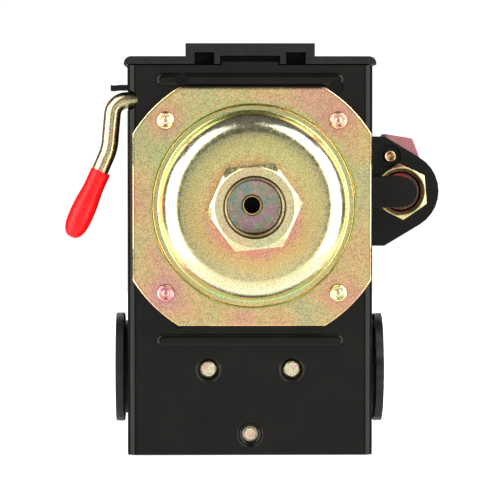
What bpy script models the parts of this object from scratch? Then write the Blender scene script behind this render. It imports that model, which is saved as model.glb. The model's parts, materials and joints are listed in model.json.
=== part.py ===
"""Single-port pressure switch of an air compressor, with an on/off lever and an unloader valve.

The switch stands on its closed lower end. +X points towards the unloader valve, -Y out of the pressure
port and +Z up along the housing. Every size below is in millimetres. Places are given in the switch frame,
whose X is 0 on the middle of the steel base and whose Y runs from 0 on the base's front face towards the
back of the cover. One empty carries that frame, and puts the origin under the middle of the whole object.
"""

import math

import bmesh
import bpy
from mathutils import Matrix, Vector

MM = 0.001
GAP = 0.3  # between pieces that touch on the real object

# Base: a steel channel, folded from one sheet
SHEET = 1.5
HALF_WIDTH = 28.5
LENGTH = 90.6
WALL_DEPTH = 31.0
BEND_RADIUS = 2.2
INNER_WALL = HALF_WIDTH - SHEET
BEAD_HALF_LENGTH, BEAD_HALF_WIDTH, BEAD_HEIGHT = 21.8, 1.5, 0.75
BEAD_Z = (26.7, 87.3)
PLAIN_HOLES = ((-15.8, 87.3, 1.65), (20.0, 85.5, 1.85), (-16.5, 31.0, 1.6))  # x, z, radius
END_TAB_HALF_WIDTH, END_TAB_RISE = 6.5, 0.8

# Pressure side, on one axis along Y
PORT_X, PORT_Z = 0.4, 57.8
FLANGE_HALF, FLANGE_CORNER_RADIUS = 27.75, 32.5
FLANGE_FACE = -GAP - SHEET
LAND_FACE, LAND_OUTER_RADIUS = -2.9, 23.4
WALL_FOOT_RADIUS = 21.9
DOME_FACE, DOME_HOLE_RADIUS = -10.0, 8.0
ROLL_AT, ROLL_RADIUS = (15.76, -5.07), 4.6  # the dome's rounded shoulder: its centre's radius and Y
ROLL_START, ROLL_END = -9.0, -84.5  # degrees, from the wall over to the face
DIAPHRAGM_RADIUS = 22.4
HEX_FLATS = 19.0
HEX_TURN = 5.8  # degrees that a corner stands above +X
PORT_FACE = -18.0
PORT_MOUTH_RADIUS, PORT_BORE_RADIUS, PORT_FLOOR = 7.2, 6.4, -9.2
PORT_HOLE_RADIUS, PORT_HOLE_OFFSET = 1.9, (-0.6, 0.3)  # the hole isn't quite central
RIVET_SPACING, RIVET_RADIUS, RIVET_HEAD_RADIUS, RIVET_RISE = 40.0, 2.0, 2.8, 0.9
BASE_OPENING_RADIUS = 10.3
PLUNGER_RADIUS, PLUNGER_STEM_RADIUS = 9.5, 4.0

# Moving axes, across the housing
PIVOT_Y, PIVOT_Z, PIN_RADIUS = 14.0, 78.0, 2.0
LEVER_Y, LEVER_Z, ROD_RADIUS = 4.8, 82.5, 1.95

# On/off lever outside the wall: corners of its centre line, and the vinyl grip
LEVER_KNEE, LEVER_BEND = (-31.6, LEVER_Z), (-32.65, 71.2)
KNEE_RADIUS, LEVER_BEND_RADIUS = 3.4, 11.0
GRIP_MOUTH, GRIP_TIP = (-34.8, 66.0), (-41.1, 50.5)
GRIP_WALL = 0.3
GRIP_OUTERMOST_X = -42.96  # where the slanted grip's rounded end reaches

# Actuator, yoke and adjusters
ACTUATOR_FACE, ACTUATOR_BACK = 7.0, 9.0
ACTUATOR_LOW, ACTUATOR_HIGH, ACTUATOR_HALF_WIDTH = 34.5, 74.4, 20.0
YOKE_INNER, YOKE_OUTER = 23.6, 25.4
YOKE_LOW, YOKE_HIGH = 33.0, 87.0
FOOT_BACK = 3.5
BRIDGE_Y, BRIDGE_THICK = 36.0, 2.0
BRIDGE_LOW, BRIDGE_HIGH = 48.5, 67.5
RANGE_NUT_Y, RANGE_NUT_THICK = 27.0, 4.0
DIFFERENTIAL_Z = 43.5
DIFFERENTIAL_NUT_Y, DIFFERENTIAL_NUT_THICK = 26.0, 3.0

# Unloader valve, outside the right wall
VALVE_X, VALVE_Z = 35.8, 61.1
EAR_Y, EAR_THICK = 16.0, 2.0
EAR_RADIUS, EAR_HALF_HEIGHT, EAR_SHOULDER_X = 9.3, 13.0, 32.2
TONGUE_RADIUS = 3.7
WINDOW_HALF_HEIGHT = TONGUE_RADIUS + 1.2
VALVE_HOLE_RADIUS, LOCATING_HOLE_RADIUS, STEM_RADIUS = 5.0, 2.7, 1.5
TUBE_X, TUBE_Z, TUBE_HEX_FLATS, TUBE_HEX_TURN = 35.0, 68.8, 11.0, 51.2
LOCATING_AT = (33.4, 69.4)
NUT_FLATS, NUT_TURN = 12.0, 34.6
BRACKET_RIVET_Y, BRACKET_RIVET_Z, BRACKET_RIVET_RADIUS = 23.5, (50.5, 55.6), 1.5
BARREL_END = 26.3
SPRING_ROOM, SPRING_ROOM_RADIUS = (20.2, 25.3), 3.2  # the room's front and back, along Y

# Electrical side
BLOCK_HALF_WIDTH, BLOCK_LOW, BLOCK_HIGH = 19.0, 8.6, 32.6
BLOCK_FRONT, BLOCK_BACK = 3.4, 11.0
BLOCK_SCREW_X, BLOCK_SCREW_Z, BLOCK_SCREW_RADIUS = 9.7, 19.9, 2.0
BLOCK_DIMPLE, POST_DIMPLE = (3.1, 2.25), (2.8, 1.8)  # radius at the mouth and at the throat
TERMINAL_X, TERMINAL_Z, TERMINAL_HALF_WIDTH = (-14.1, -4.9, 4.9, 14.1), 12.4, 3.7
CONTACT_Z, POLE_X, CONTACT_REACH = 28.6, 9.5, 6.4
CARRIER_FRONT, CARRIER_BACK = 13.4, 22.5
ENTRY_Y, ENTRY_Z, ENTRY_RADIUS = 16.5, 19.4, 11.3
GROMMET_BORE, GROMMET_COLLAR_RADIUS, GROMMET_RADIUS = 5.5, 11.0, 12.9
GROMMET_STANDOFF, GROMMET_THICK = 0.85, 2.1
GROUND_AT, GROUND_SCREW_RADIUS = (19.0, 45.0), 1.7  # y and z of its axis

# Cover
COVER_BACK = 64.0
COVER_SPLIT = WALL_DEPTH + GAP
COVER_WALL = 2.0
COVER_TOP = 92.7
LIP_HALF_WIDTH, BOTTOM_END_HIGH = 29.3, 1.7
BOSS_TOP, BOSS_HALF_WIDTH = 95.7, 15.0
WINDOW_X, WINDOW_HALF_WIDTH, WINDOW_TOP = 10.6, 2.3, 93.6
NOTCH_HALF_WIDTH = 7.0
SKIRT_FRONT, SKIRT_LOW, SKIRT_HIGH = 27.0, 42.0, 86.0
LABEL_HALF_WIDTH, LABEL_LOW, LABEL_HIGH = 18.4, 28.6, 77.4
POST_Z, POST_TIP_RADIUS, POST_RADIUS = 4.8, 1.5, 2.7
WELL_FLOOR, WELL_RADIUS, WELL_BORE_RADIUS = 57.4, 4.6, 3.5
COVER_SCREW_RADIUS, COVER_SCREW_LENGTH = 1.6, 14.3

# The whole object's middle, as seen from the switch frame
MIDDLE_X = (VALVE_X + EAR_RADIUS + GRIP_OUTERMOST_X) / 2
MIDDLE_Y = (PORT_FACE + COVER_BACK) / 2


# ---------------------------------------------------------------- outlines


def arc(centre, radius, start, end, count):
    """count + 1 points on an arc, angles in degrees, in the plane of the outline."""
    return [
        (
            centre[0] + radius * math.cos(math.radians(start + (end - start) * i / count)),
            centre[1] + radius * math.sin(math.radians(start + (end - start) * i / count)),
        )
        for i in range(count + 1)
    ]


def circle(centre, radius, count=24):
    return arc(centre, radius, 0, 360, count)[:-1]


def hexagon(centre, flats, turn=0.0):
    """A hexagon by its width across the flats. turn is the angle of its first corner, in degrees."""
    return arc(centre, flats / math.sqrt(3), turn, turn + 360, 6)[:-1]


def stadium(centre, half_length, radius, count=4):
    right = arc((centre[0] + half_length - radius, centre[1]), radius, -90, 90, count)
    left = arc((centre[0] - half_length + radius, centre[1]), radius, 90, 270, count)
    return right + left


def filleted(corners, radii, count=5):
    """A line through the corners with each inner corner rounded to its radius."""
    line = [Vector(corners[0])]
    for before, corner, after, radius in zip(corners, corners[1:], corners[2:], radii):
        before, corner, after = Vector(before), Vector(corner), Vector(after)
        back, on = (before - corner).normalized(), (after - corner).normalized()
        half = back.angle(on) / 2
        centre = corner + (back + on).normalized() * (radius / math.sin(half))
        start = corner + back * (radius / math.tan(half)) - centre
        end = corner + on * (radius / math.tan(half)) - centre
        sweep = start.angle(end)
        for i in range(count + 1):
            share = i / count
            line.append(
                centre
                + (start * math.sin((1 - share) * sweep) + end * math.sin(share * sweep))
                / math.sin(sweep)
            )
    return line + [Vector(corners[-1])]


# ---------------------------------------------------------------- solids


def scene_object(name, data):
    made = bpy.data.objects.new(name, data)
    bpy.context.scene.collection.objects.link(made)
    return made


def from_bmesh(name, shape):
    bmesh.ops.recalc_face_normals(shape, faces=shape.faces)
    bmesh.ops.scale(shape, vec=(MM, MM, MM), verts=shape.verts)
    mesh = bpy.data.meshes.new(name)
    shape.to_mesh(mesh)
    shape.free()
    return scene_object(name, mesh)


def laid(point, along, axis):
    """A point of an outline, at a height along the axis the outline is extruded on."""
    a, b = point
    return {"X": (along, a, b), "Y": (a, along, b), "Z": (a, b, along)}[axis]


def loft(name, sections, axis="Y", ring=False):
    """A solid through outlines of equal point count, each given as (height along the axis, outline).

    A ring's last outline joins its first, and leaves the middle open.
    """
    shape = bmesh.new()
    rings = [[shape.verts.new(laid(p, along, axis)) for p in outline] for along, outline in sections]
    pairs = list(zip(rings, rings[1:]))
    if ring:
        pairs.append((rings[-1], rings[0]))
    for low, high in pairs:
        for i in range(len(low)):
            j = (i + 1) % len(low)
            shape.faces.new((low[i], low[j], high[j], high[i]))
    if not ring:
        shape.faces.new(rings[0])
        shape.faces.new(rings[-1])
    return from_bmesh(name, shape)


def prism(name, outline, low, high, axis="Y"):
    return loft(name, [(low, outline), (high, outline)], axis)


def block(name, low, high):
    outline = [(low[0], low[2]), (high[0], low[2]), (high[0], high[2]), (low[0], high[2])]
    return prism(name, outline, low[1], high[1])


def turned(name, profile, centre=(0.0, 0.0), axis="Y", count=24, ring=False):
    """A turned solid. The profile is (radius, height) points; a ring's profile closes on itself."""
    shape = bmesh.new()
    rings = []
    for radius, along in profile:
        if radius == 0:
            rings.append([shape.verts.new(laid(centre, along, axis))] * count)
        else:
            rings.append([shape.verts.new(laid(p, along, axis)) for p in circle(centre, radius, count)])
    pairs = list(zip(rings, rings[1:]))
    if ring:
        pairs.append((rings[-1], rings[0]))
    for low, high in pairs:
        for i in range(count):
            j = (i + 1) % count
            corners = []
            for vert in (low[i], low[j], high[j], high[i]):
                if vert not in corners:
                    corners.append(vert)
            if len(corners) > 2:
                shape.faces.new(corners)
    if not ring:
        for end in (rings[0], rings[-1]):
            if end[0] is not end[1]:
                shape.faces.new(end)
    return from_bmesh(name, shape)


def rod(name, centre, radius, low, high, axis="Y", count=24):
    return prism(name, circle(centre, radius, count), low, high, axis)


def wire(name, points, radius, resolution):
    """A round wire along a line of points, with closed ends."""
    curve = bpy.data.curves.new(name, "CURVE")
    curve.dimensions = "3D"
    curve.bevel_depth = radius * MM
    curve.bevel_resolution = resolution
    curve.use_fill_caps = True
    spline = curve.splines.new("POLY")
    spline.points.add(len(points) - 1)
    for target, point in zip(spline.points, points):
        target.co = (*(Vector(point) * MM), 1.0)
    return scene_object(name, curve)


def coil(name, centre, mean_radius, wire_radius, low, high, turns, steps, resolution):
    """A compression spring along Y whose end turns lie almost flat."""
    first, last = low + wire_radius, high - wire_radius
    points = []
    total = round(turns * steps)
    for i in range(total + 1):
        share = i / total
        rise = min(max((share * turns - 0.8) / (turns - 1.6), 0.0), 1.0)
        lift = wire_radius * 0.9 * min(share * turns, 0.8) / 0.8
        drop = wire_radius * 0.9 * min((1 - share) * turns, 0.8) / 0.8
        angle = 2 * math.pi * share * turns
        along = first + rise * (last - first - 3.6 * wire_radius) + 2 * lift + 1.8 * wire_radius - 2 * drop
        points.append(
            (centre[0] + mean_radius * math.cos(angle), along, centre[1] + mean_radius * math.sin(angle))
        )
    return wire(name, points, wire_radius, resolution)


def combine(target, tool, operation):
    """Applies a Boolean of the tool to the target, and removes the tool."""
    modifier = target.modifiers.new("Join", "BOOLEAN")
    modifier.operation = operation
    modifier.object = tool
    bpy.context.view_layer.update()
    result = target.evaluated_get(bpy.context.evaluated_depsgraph_get())
    mesh = bpy.data.meshes.new_from_object(result)
    target.modifiers.clear()
    target.data = mesh
    bpy.data.objects.remove(tool)
    return target


def cut(target, *tools):
    for tool in tools:
        combine(target, tool, "DIFFERENCE")
    return target


def join(target, *tools):
    for tool in tools:
        combine(target, tool, "UNION")
    return target


def keep_inside(target, tool):
    return combine(target, tool, "INTERSECT")


# ---------------------------------------------------------------- placing


def principled(name, colour, roughness, metallic):
    material = bpy.data.materials.new(name)
    material.use_nodes = True
    shader = material.node_tree.nodes["Principled BSDF"]
    shader.inputs["Base Color"].default_value = (*colour, 1.0)
    shader.inputs["Roughness"].default_value = roughness
    shader.inputs["Metallic"].default_value = metallic
    material.diffuse_color = (*colour, 1.0)
    return material


def empty(name, place, parent=None):
    made = scene_object(name, None)
    made.location = Vector(place) * MM
    made.parent = parent
    return made


class Switch:
    """The switch frame, its materials, and the empties that its moving pieces hang on."""

    def __init__(self):
        self.frame = empty("switch_frame", (-MIDDLE_X, -MIDDLE_Y, 0))
        self.materials = {
            "black_paint": principled("black_paint", (0.012, 0.012, 0.012), 0.28, 0.0),
            "zinc_yellow": principled("zinc_yellow", (0.72, 0.58, 0.30), 0.30, 1.0),
            "black_plastic": principled("black_plastic", (0.030, 0.030, 0.030), 0.55, 0.0),
            "red_vinyl": principled("red_vinyl", (0.80, 0.02, 0.03), 0.35, 0.0),
            "black_rubber": principled("black_rubber", (0.020, 0.020, 0.020), 0.75, 0.0),
            "red_seal": principled("red_seal", (0.65, 0.06, 0.03), 0.50, 0.0),
            "steel": principled("steel", (0.60, 0.60, 0.60), 0.30, 1.0),
            "brass": principled("brass", (0.75, 0.55, 0.25), 0.30, 1.0),
            "phenolic": principled("phenolic", (0.060, 0.035, 0.025), 0.45, 0.0),
            "green_paint": principled("green_paint", (0.02, 0.30, 0.08), 0.35, 0.0),
            "label": principled("label", (0.75, 0.75, 0.73), 0.45, 0.0),
        }

    def axis_at(self, name, place):
        return empty(name, place, self.frame)

    def add(self, piece, material, axis=None):
        """Gives a piece its material and hangs it on the frame, or on the empty of its joint's axis."""
        at = Vector(axis.location) if axis else Vector()
        data = piece.data
        if piece.type == "CURVE":
            for spline in data.splines:
                for point in spline.points:
                    point.co = (*(Vector(point.co[:3]) - at), 1.0)
        else:
            data.transform(Matrix.Translation(-at))
            data.shade_smooth()
            data.set_sharp_from_angle(angle=math.radians(35))
        data.materials.clear()
        data.materials.append(self.materials[material])
        piece.parent = axis or self.frame
        return piece


# ---------------------------------------------------------------- base and cover


def channel_outline():
    """The base's section across X and Y, with rounded folds."""
    inner_radius = BEND_RADIUS - SHEET
    fold = HALF_WIDTH - BEND_RADIUS
    outer = [(-HALF_WIDTH, WALL_DEPTH)]
    outer += arc((-fold, BEND_RADIUS), BEND_RADIUS, 180, 270, 3)
    outer += arc((fold, BEND_RADIUS), BEND_RADIUS, 270, 360, 3)
    outer += [(HALF_WIDTH, WALL_DEPTH), (INNER_WALL, WALL_DEPTH)]
    inner = arc((fold, BEND_RADIUS), inner_radius, 0, -90, 2)
    inner += arc((-fold, BEND_RADIUS), inner_radius, -90, -180, 2)
    return outer + inner + [(-INNER_WALL, WALL_DEPTH)]


def bead(z):
    """A stiffening bead pressed out of the front face."""
    foot = stadium((0, z), BEAD_HALF_LENGTH, BEAD_HALF_WIDTH)
    crest = stadium((0, z), BEAD_HALF_LENGTH - BEAD_HEIGHT, BEAD_HALF_WIDTH - BEAD_HEIGHT)
    return loft("bead", [(SHEET / 2, foot), (0, foot), (-BEAD_HEIGHT, crest)])


def funnel(x, z, mouth, radius):
    """The dimpled hole that a screw's or stud's end shows in, as a cutter."""
    throat = 1.1
    front, back = -1.0, 5.0
    profile = [(0, front), (mouth, front), (mouth, 0), (radius, throat), (radius, back), (0, back)]
    return turned("funnel", profile, (x, z), count=16)


def rivet_places():
    half = RIVET_SPACING / 2
    return [(PORT_X + x * half, PORT_Z + z * half) for z in (1, -1) for x in (-1, 1)]


def rivet_holes():
    front, back, clearance = -8.0, 6.0, 0.4
    return [rod("rivet_hole", at, RIVET_RADIUS + clearance, front, back, count=12) for at in rivet_places()]


def through_wall(side):
    """A span along X that passes through one side wall and nothing else."""
    ends = (side * (INNER_WALL - 1), side * (HALF_WIDTH + 1))
    return min(ends), max(ends)


def tongue_window(low, high):
    """The opening that the actuator's tongue reaches out through, with room for its stroke."""
    window_front, window_back = ACTUATOR_FACE - 2, ACTUATOR_BACK + 3
    bottom, top = VALVE_Z - WINDOW_HALF_HEIGHT, VALVE_Z + WINDOW_HALF_HEIGHT
    return block("tongue_window", (low, window_front, bottom), (high, window_back, top))


def base_frame(switch):
    base = prism("base_frame", channel_outline(), 0, LENGTH, "Z")
    join(base, *[bead(z) for z in BEAD_Z])
    tab = END_TAB_HALF_WIDTH
    join(base, block("end_tab", (-tab, GAP, LENGTH - 1), (tab, SHEET, LENGTH + END_TAB_RISE)))
    guard_low, guard_thick, guard_reach = LEVER_Z + 2.2, 1.4, 3.9
    guard_front, guard_back = 2.6, 9.0
    low = (-HALF_WIDTH - guard_reach, guard_front, guard_low)
    high = (-HALF_WIDTH + SHEET / 2, guard_back, guard_low + guard_thick)
    join(base, block("lever_guard", low, high))
    studs = [(-BLOCK_SCREW_X, BLOCK_SCREW_Z), (BLOCK_SCREW_X, BLOCK_SCREW_Z)]
    collar_radius, collar_end = BLOCK_DIMPLE[0] + GAP, BLOCK_FRONT - GAP
    join(base, *[rod("collar", stud, collar_radius, SHEET / 2, collar_end, count=20) for stud in studs])
    cut(base, *[funnel(x, z, *BLOCK_DIMPLE) for x, z in studs])
    cut(base, funnel(0, POST_Z, *POST_DIMPLE))
    before, behind = -2.0, 3.0  # cutters through the front face reach from here to here
    cut(base, *[rod("hole", (x, z), radius, before, behind, count=16) for x, z, radius in PLAIN_HOLES])
    cut(base, rod("opening", (PORT_X, PORT_Z), BASE_OPENING_RADIUS, before, behind))
    cut(base, *rivet_holes())
    lever_clearance = ROD_RADIUS + 0.45
    cut(base, rod("lever_hole", (LEVER_Y, LEVER_Z), lever_clearance, *through_wall(-1), "X", 20))
    cut(base, rod("lever_notch", (-HALF_WIDTH, LEVER_Z), lever_clearance, before, LEVER_Y, count=20))
    cut(base, tongue_window(*through_wall(1)))
    for side in (-1, 1):
        cut(base, rod("cable_hole", (ENTRY_Y, ENTRY_Z), ENTRY_RADIUS, *through_wall(side), "X", 24))
    for z in BRACKET_RIVET_Z:
        hole_radius = BRACKET_RIVET_RADIUS + GAP
        cut(base, rod("bracket_hole", (BRACKET_RIVET_Y, z), hole_radius, *through_wall(1), "X", 16))
    cut(base, rod("ground_hole", GROUND_AT, GROUND_SCREW_RADIUS + GAP, *through_wall(-1), "X", 16))
    return switch.add(base, "black_paint")


def back_rounded_box(name, low, high, radius):
    """A box whose edges at the back are rounded."""
    made = block(name, low, high)
    shape = bmesh.new()
    shape.from_mesh(made.data)
    back = high[1] * MM
    edges = [edge for edge in shape.edges if any(abs(vert.co.y - back) < 1e-6 for vert in edge.verts)]
    bmesh.ops.bevel(shape, geom=edges, offset=radius * MM, segments=2, profile=0.5, affect="EDGES")
    shape.to_mesh(made.data)
    shape.free()
    return made


def cover_shell(switch, axis):
    """The moulded cover: a box over the walls, whose ends reach forward to close the channel."""
    overlap, back_radius, lip_round = 1.0, 3.0, 1.5
    outer_low, outer_high = (-HALF_WIDTH, COVER_SPLIT, 0), (HALF_WIDTH, COVER_BACK, COVER_TOP)
    shell = back_rounded_box("cover", outer_low, outer_high, back_radius)
    corner, top_centre = LIP_HALF_WIDTH - lip_round, COVER_TOP - lip_round
    lip = arc((corner, top_centre), lip_round, 0, 90, 4)
    lip += arc((-corner, top_centre), lip_round, 90, 180, 4)
    lip += [(-LIP_HALF_WIDTH, LENGTH + GAP), (LIP_HALF_WIDTH, LENGTH + GAP)]
    join(shell, prism("top_end", lip, 0, COVER_SPLIT + overlap))
    inside = INNER_WALL - GAP
    low, high = (-inside, SHEET + GAP, 0), (inside, COVER_SPLIT + overlap, BOTTOM_END_HIGH)
    join(shell, block("bottom_end", low, high))
    hollow, back = HALF_WIDTH - COVER_WALL, COVER_BACK - COVER_WALL
    cut(shell, block("hollow", (-hollow, SHEET + GAP, BOTTOM_END_HIGH), (hollow, back, LENGTH + GAP)))
    boss_depth, boss_slope, boss_root = 12.0, 3.0, LENGTH + GAP + 0.6
    boss = [(0, boss_root), (boss_depth, boss_root), (boss_depth, COVER_TOP - 0.3)]
    boss += [(boss_depth - boss_slope, BOSS_TOP), (0, BOSS_TOP)]
    join(shell, prism("boss", boss, -BOSS_HALF_WIDTH, BOSS_HALF_WIDTH, "X"))
    for x in (-WINDOW_X, WINDOW_X):
        low, high = (x - WINDOW_HALF_WIDTH, -1, LENGTH), (x + WINDOW_HALF_WIDTH, 8, WINDOW_TOP)
        cut(shell, block("window", low, high))
    notch = NOTCH_HALF_WIDTH
    cut(shell, block("notch", (-notch, -1, LENGTH), (notch, 6, COVER_TOP + 0.1)))
    for side in (-1, 1):
        low, high = sorted((side * (inside - 1.0), side * inside))
        join(shell, block("skirt", (low, SKIRT_FRONT, SKIRT_LOW), (high, COVER_SPLIT + 2, SKIRT_HIGH)))
    at, seat = (0, POST_Z), WELL_FLOOR + 4
    join(shell, rod("well", at, WELL_RADIUS, WELL_FLOOR, back + overlap, count=20))
    cut(shell, rod("well_bore", at, WELL_BORE_RADIUS, seat, COVER_BACK + 1, count=16))
    cut(shell, rod("well_hole", at, COVER_SCREW_RADIUS + GAP, WELL_FLOOR - 1, seat + 1, count=16))
    recess_depth, margin = 0.6, 0.6
    low = (-LABEL_HALF_WIDTH - margin, COVER_BACK - recess_depth, LABEL_LOW - margin)
    high = (LABEL_HALF_WIDTH + margin, COVER_BACK + 1, LABEL_HIGH + margin)
    cut(shell, block("label_recess", low, high))
    switch.add(shell, "black_plastic", axis)
    low = (-LABEL_HALF_WIDTH, COVER_BACK - recess_depth + GAP, LABEL_LOW)
    switch.add(block("rating_label", low, (LABEL_HALF_WIDTH, COVER_BACK, LABEL_HIGH)), "label", axis)
    head = seat + GAP
    tip = head - COVER_SCREW_LENGTH
    screw = slotted_screw("cover_screw", at, COVER_SCREW_RADIUS, 3.1, tip, head, 2.2)
    switch.add(screw, "zinc_yellow", axis)


def cover_post(switch):
    """The threaded post that the cover's screw goes into, riveted into the base at its front end."""
    tip, shoulder, end = 0.4, SHEET + GAP, WELL_FLOOR - 0.4
    bore, blind = COVER_SCREW_RADIUS + GAP, WELL_FLOOR - 12
    profile = [(0, tip), (POST_TIP_RADIUS, tip), (POST_TIP_RADIUS, shoulder), (POST_RADIUS, shoulder)]
    profile += [(POST_RADIUS, end), (bore, end), (bore, blind), (0, blind)]
    switch.add(turned("cover_post", profile, (0, POST_Z), count=12), "zinc_yellow")


def slotted_screw(name, centre, radius, head_radius, tip, head, head_height, axis="Y"):
    """A cheese-head screw. It runs from its tip to the underside of its head; the slot faces away."""
    top, edge = head + head_height, 0.5
    profile = [(0, tip), (radius * 0.8, tip), (radius, tip + edge), (radius, head), (head_radius, head)]
    profile += [(head_radius, top - edge), (head_radius - edge, top), (0, top)]
    made = turned(name, profile, centre, axis, 12)
    slot_depth, slot_half, reach = 0.9, 0.45, head_radius + 1
    a, b = centre
    slot = {
        "Y": ((a - reach, top - slot_depth, b - slot_half), (a + reach, top + 1, b + slot_half)),
        "X": ((top - slot_depth, a - reach, b - slot_half), (top + 1, a + reach, b + slot_half)),
    }[axis]
    return cut(made, block("slot", *slot))


# ---------------------------------------------------------------- pressure side


def flange_angles():
    """Angles round the flange: even ones, and the eight where its straight sides meet its round corners."""
    reach = math.degrees(math.acos(FLANGE_HALF / FLANGE_CORNER_RADIUS))
    corners = [90 * quarter + side * reach for quarter in range(4) for side in (-1, 1)]
    even = [10 * i for i in range(36)]
    even = [angle for angle in even if all(abs((angle - c + 180) % 360 - 180) > 2 for c in corners)]
    return sorted(angle % 360 for angle in even + corners)


def flange_rim():
    """The flange seen from the front: round at its corners, flat on its four sides."""
    rim = []
    for angle in flange_angles():
        from_axis = math.radians(abs((angle + 45) % 90 - 45))
        radius = min(FLANGE_CORNER_RADIUS, FLANGE_HALF / math.cos(from_axis))
        rim += arc((PORT_X, PORT_Z), radius, angle, angle, 1)[:1]
    return rim


def flange_ring(radius):
    return [arc((PORT_X, PORT_Z), radius, angle, angle, 1)[0] for angle in flange_angles()]


def pressure_flange(switch):
    """A pressed plate with a raised land and a dome, which holds the diaphragm against the base."""
    edge = 0.5
    front = [(LAND_OUTER_RADIUS, FLANGE_FACE), (LAND_OUTER_RADIUS - edge, LAND_FACE)]
    front += [(WALL_FOOT_RADIUS + edge, LAND_FACE), (WALL_FOOT_RADIUS, LAND_FACE - edge)]
    front += arc(ROLL_AT, ROLL_RADIUS, ROLL_START, ROLL_END, 4)
    front += [(DOME_HOLE_RADIUS, DOME_FACE)]
    back = [(DOME_HOLE_RADIUS, DOME_FACE + SHEET)]
    back += arc(ROLL_AT, ROLL_RADIUS - SHEET, ROLL_END, ROLL_START, 3)
    back += [(WALL_FOOT_RADIUS - SHEET, LAND_FACE + SHEET), (LAND_OUTER_RADIUS - edge, LAND_FACE + SHEET)]
    back += [(LAND_OUTER_RADIUS - edge, -GAP)]
    sections = [(-GAP, flange_rim()), (FLANGE_FACE, flange_rim())]
    sections += [(along, flange_ring(radius)) for radius, along in front + back]
    flange = loft("pressure_flange", sections, ring=True)
    cut(flange, *rivet_holes())
    return switch.add(flange, "zinc_yellow")


def port_fitting(switch):
    """The hexagonal female port, staked into the dome."""
    at = (PORT_X, PORT_Z)
    corner, face = HEX_FLATS / math.sqrt(3), HEX_FLATS / 2 - 0.2
    seat, inside = DOME_FACE - GAP, DOME_FACE + SHEET + GAP
    neck_radius, stake_radius, stake_end = 7.7, 9.2, inside + 1.2
    fitting = prism("port_fitting", hexagon(at, HEX_FLATS, HEX_TURN), PORT_FACE, seat)
    slope = (corner - face) * math.tan(math.radians(30))
    chamfer = [(0, PORT_FACE), (face, PORT_FACE), (corner, PORT_FACE + slope)]
    chamfer += [(corner + 1, PORT_FACE + slope), (corner + 1, seat + 1), (0, seat + 1)]
    keep_inside(fitting, turned("chamfer", chamfer, at, count=24))
    neck = [(0, seat - 1), (neck_radius, seat - 1), (neck_radius, inside), (stake_radius, inside)]
    neck += [(stake_radius - 0.2, stake_end), (0, stake_end)]
    join(fitting, turned("neck", neck, at, count=24))
    bore = [(0, PORT_FACE - 1), (PORT_MOUTH_RADIUS, PORT_FACE - 1), (PORT_MOUTH_RADIUS, PORT_FACE)]
    bore += [(PORT_BORE_RADIUS, PORT_FACE + 0.9), (PORT_BORE_RADIUS - 0.3, PORT_FLOOR - 0.4)]
    bore += [(PORT_HOLE_RADIUS, PORT_FLOOR), (0, PORT_FLOOR)]
    cut(fitting, turned("bore", bore, at, count=24))
    hole_at = (PORT_X + PORT_HOLE_OFFSET[0], PORT_Z + PORT_HOLE_OFFSET[1])
    cut(fitting, rod("pressure_hole", hole_at, PORT_HOLE_RADIUS, PORT_FLOOR - 1, stake_end + 1, count=20))
    return switch.add(fitting, "zinc_yellow")


def flange_rivets(switch):
    """Four rivets through the flange, the base and the yoke's feet, headed inside."""
    tip, head, dish = FLANGE_FACE - RIVET_RISE, FOOT_BACK + GAP, 0.25
    for number, at in enumerate(rivet_places(), 1):
        profile = [(0, tip + dish), (1.0, tip), (RIVET_RADIUS - 0.3, tip), (RIVET_RADIUS, tip + 0.3)]
        profile += [(RIVET_RADIUS, head), (RIVET_HEAD_RADIUS, head), (RIVET_HEAD_RADIUS, head + 0.8)]
        profile += [(RIVET_HEAD_RADIUS - 0.5, head + 1.3), (0, head + 1.3)]
        switch.add(turned(f"flange_rivet_{number}", profile, at, count=12), "zinc_yellow")


def diaphragm(switch):
    front, back = LAND_FACE + SHEET + GAP, -GAP
    profile = [(0, front), (DIAPHRAGM_RADIUS, front), (DIAPHRAGM_RADIUS, back), (0, back)]
    switch.add(turned("diaphragm", profile, (PORT_X, PORT_Z), count=24), "black_rubber")


def plunger(switch, axis):
    plate, end, nose = 3.2, ACTUATOR_FACE - GAP, 1.4
    profile = [(0, 0), (PLUNGER_RADIUS, 0), (PLUNGER_RADIUS, plate), (PLUNGER_STEM_RADIUS, plate + 0.6)]
    profile += [(PLUNGER_STEM_RADIUS, end - 0.8), (PLUNGER_STEM_RADIUS - nose, end), (0, end)]
    switch.add(turned("plunger", profile, (PORT_X, PORT_Z), count=20), "steel", axis)


# ---------------------------------------------------------------- mechanism


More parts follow.
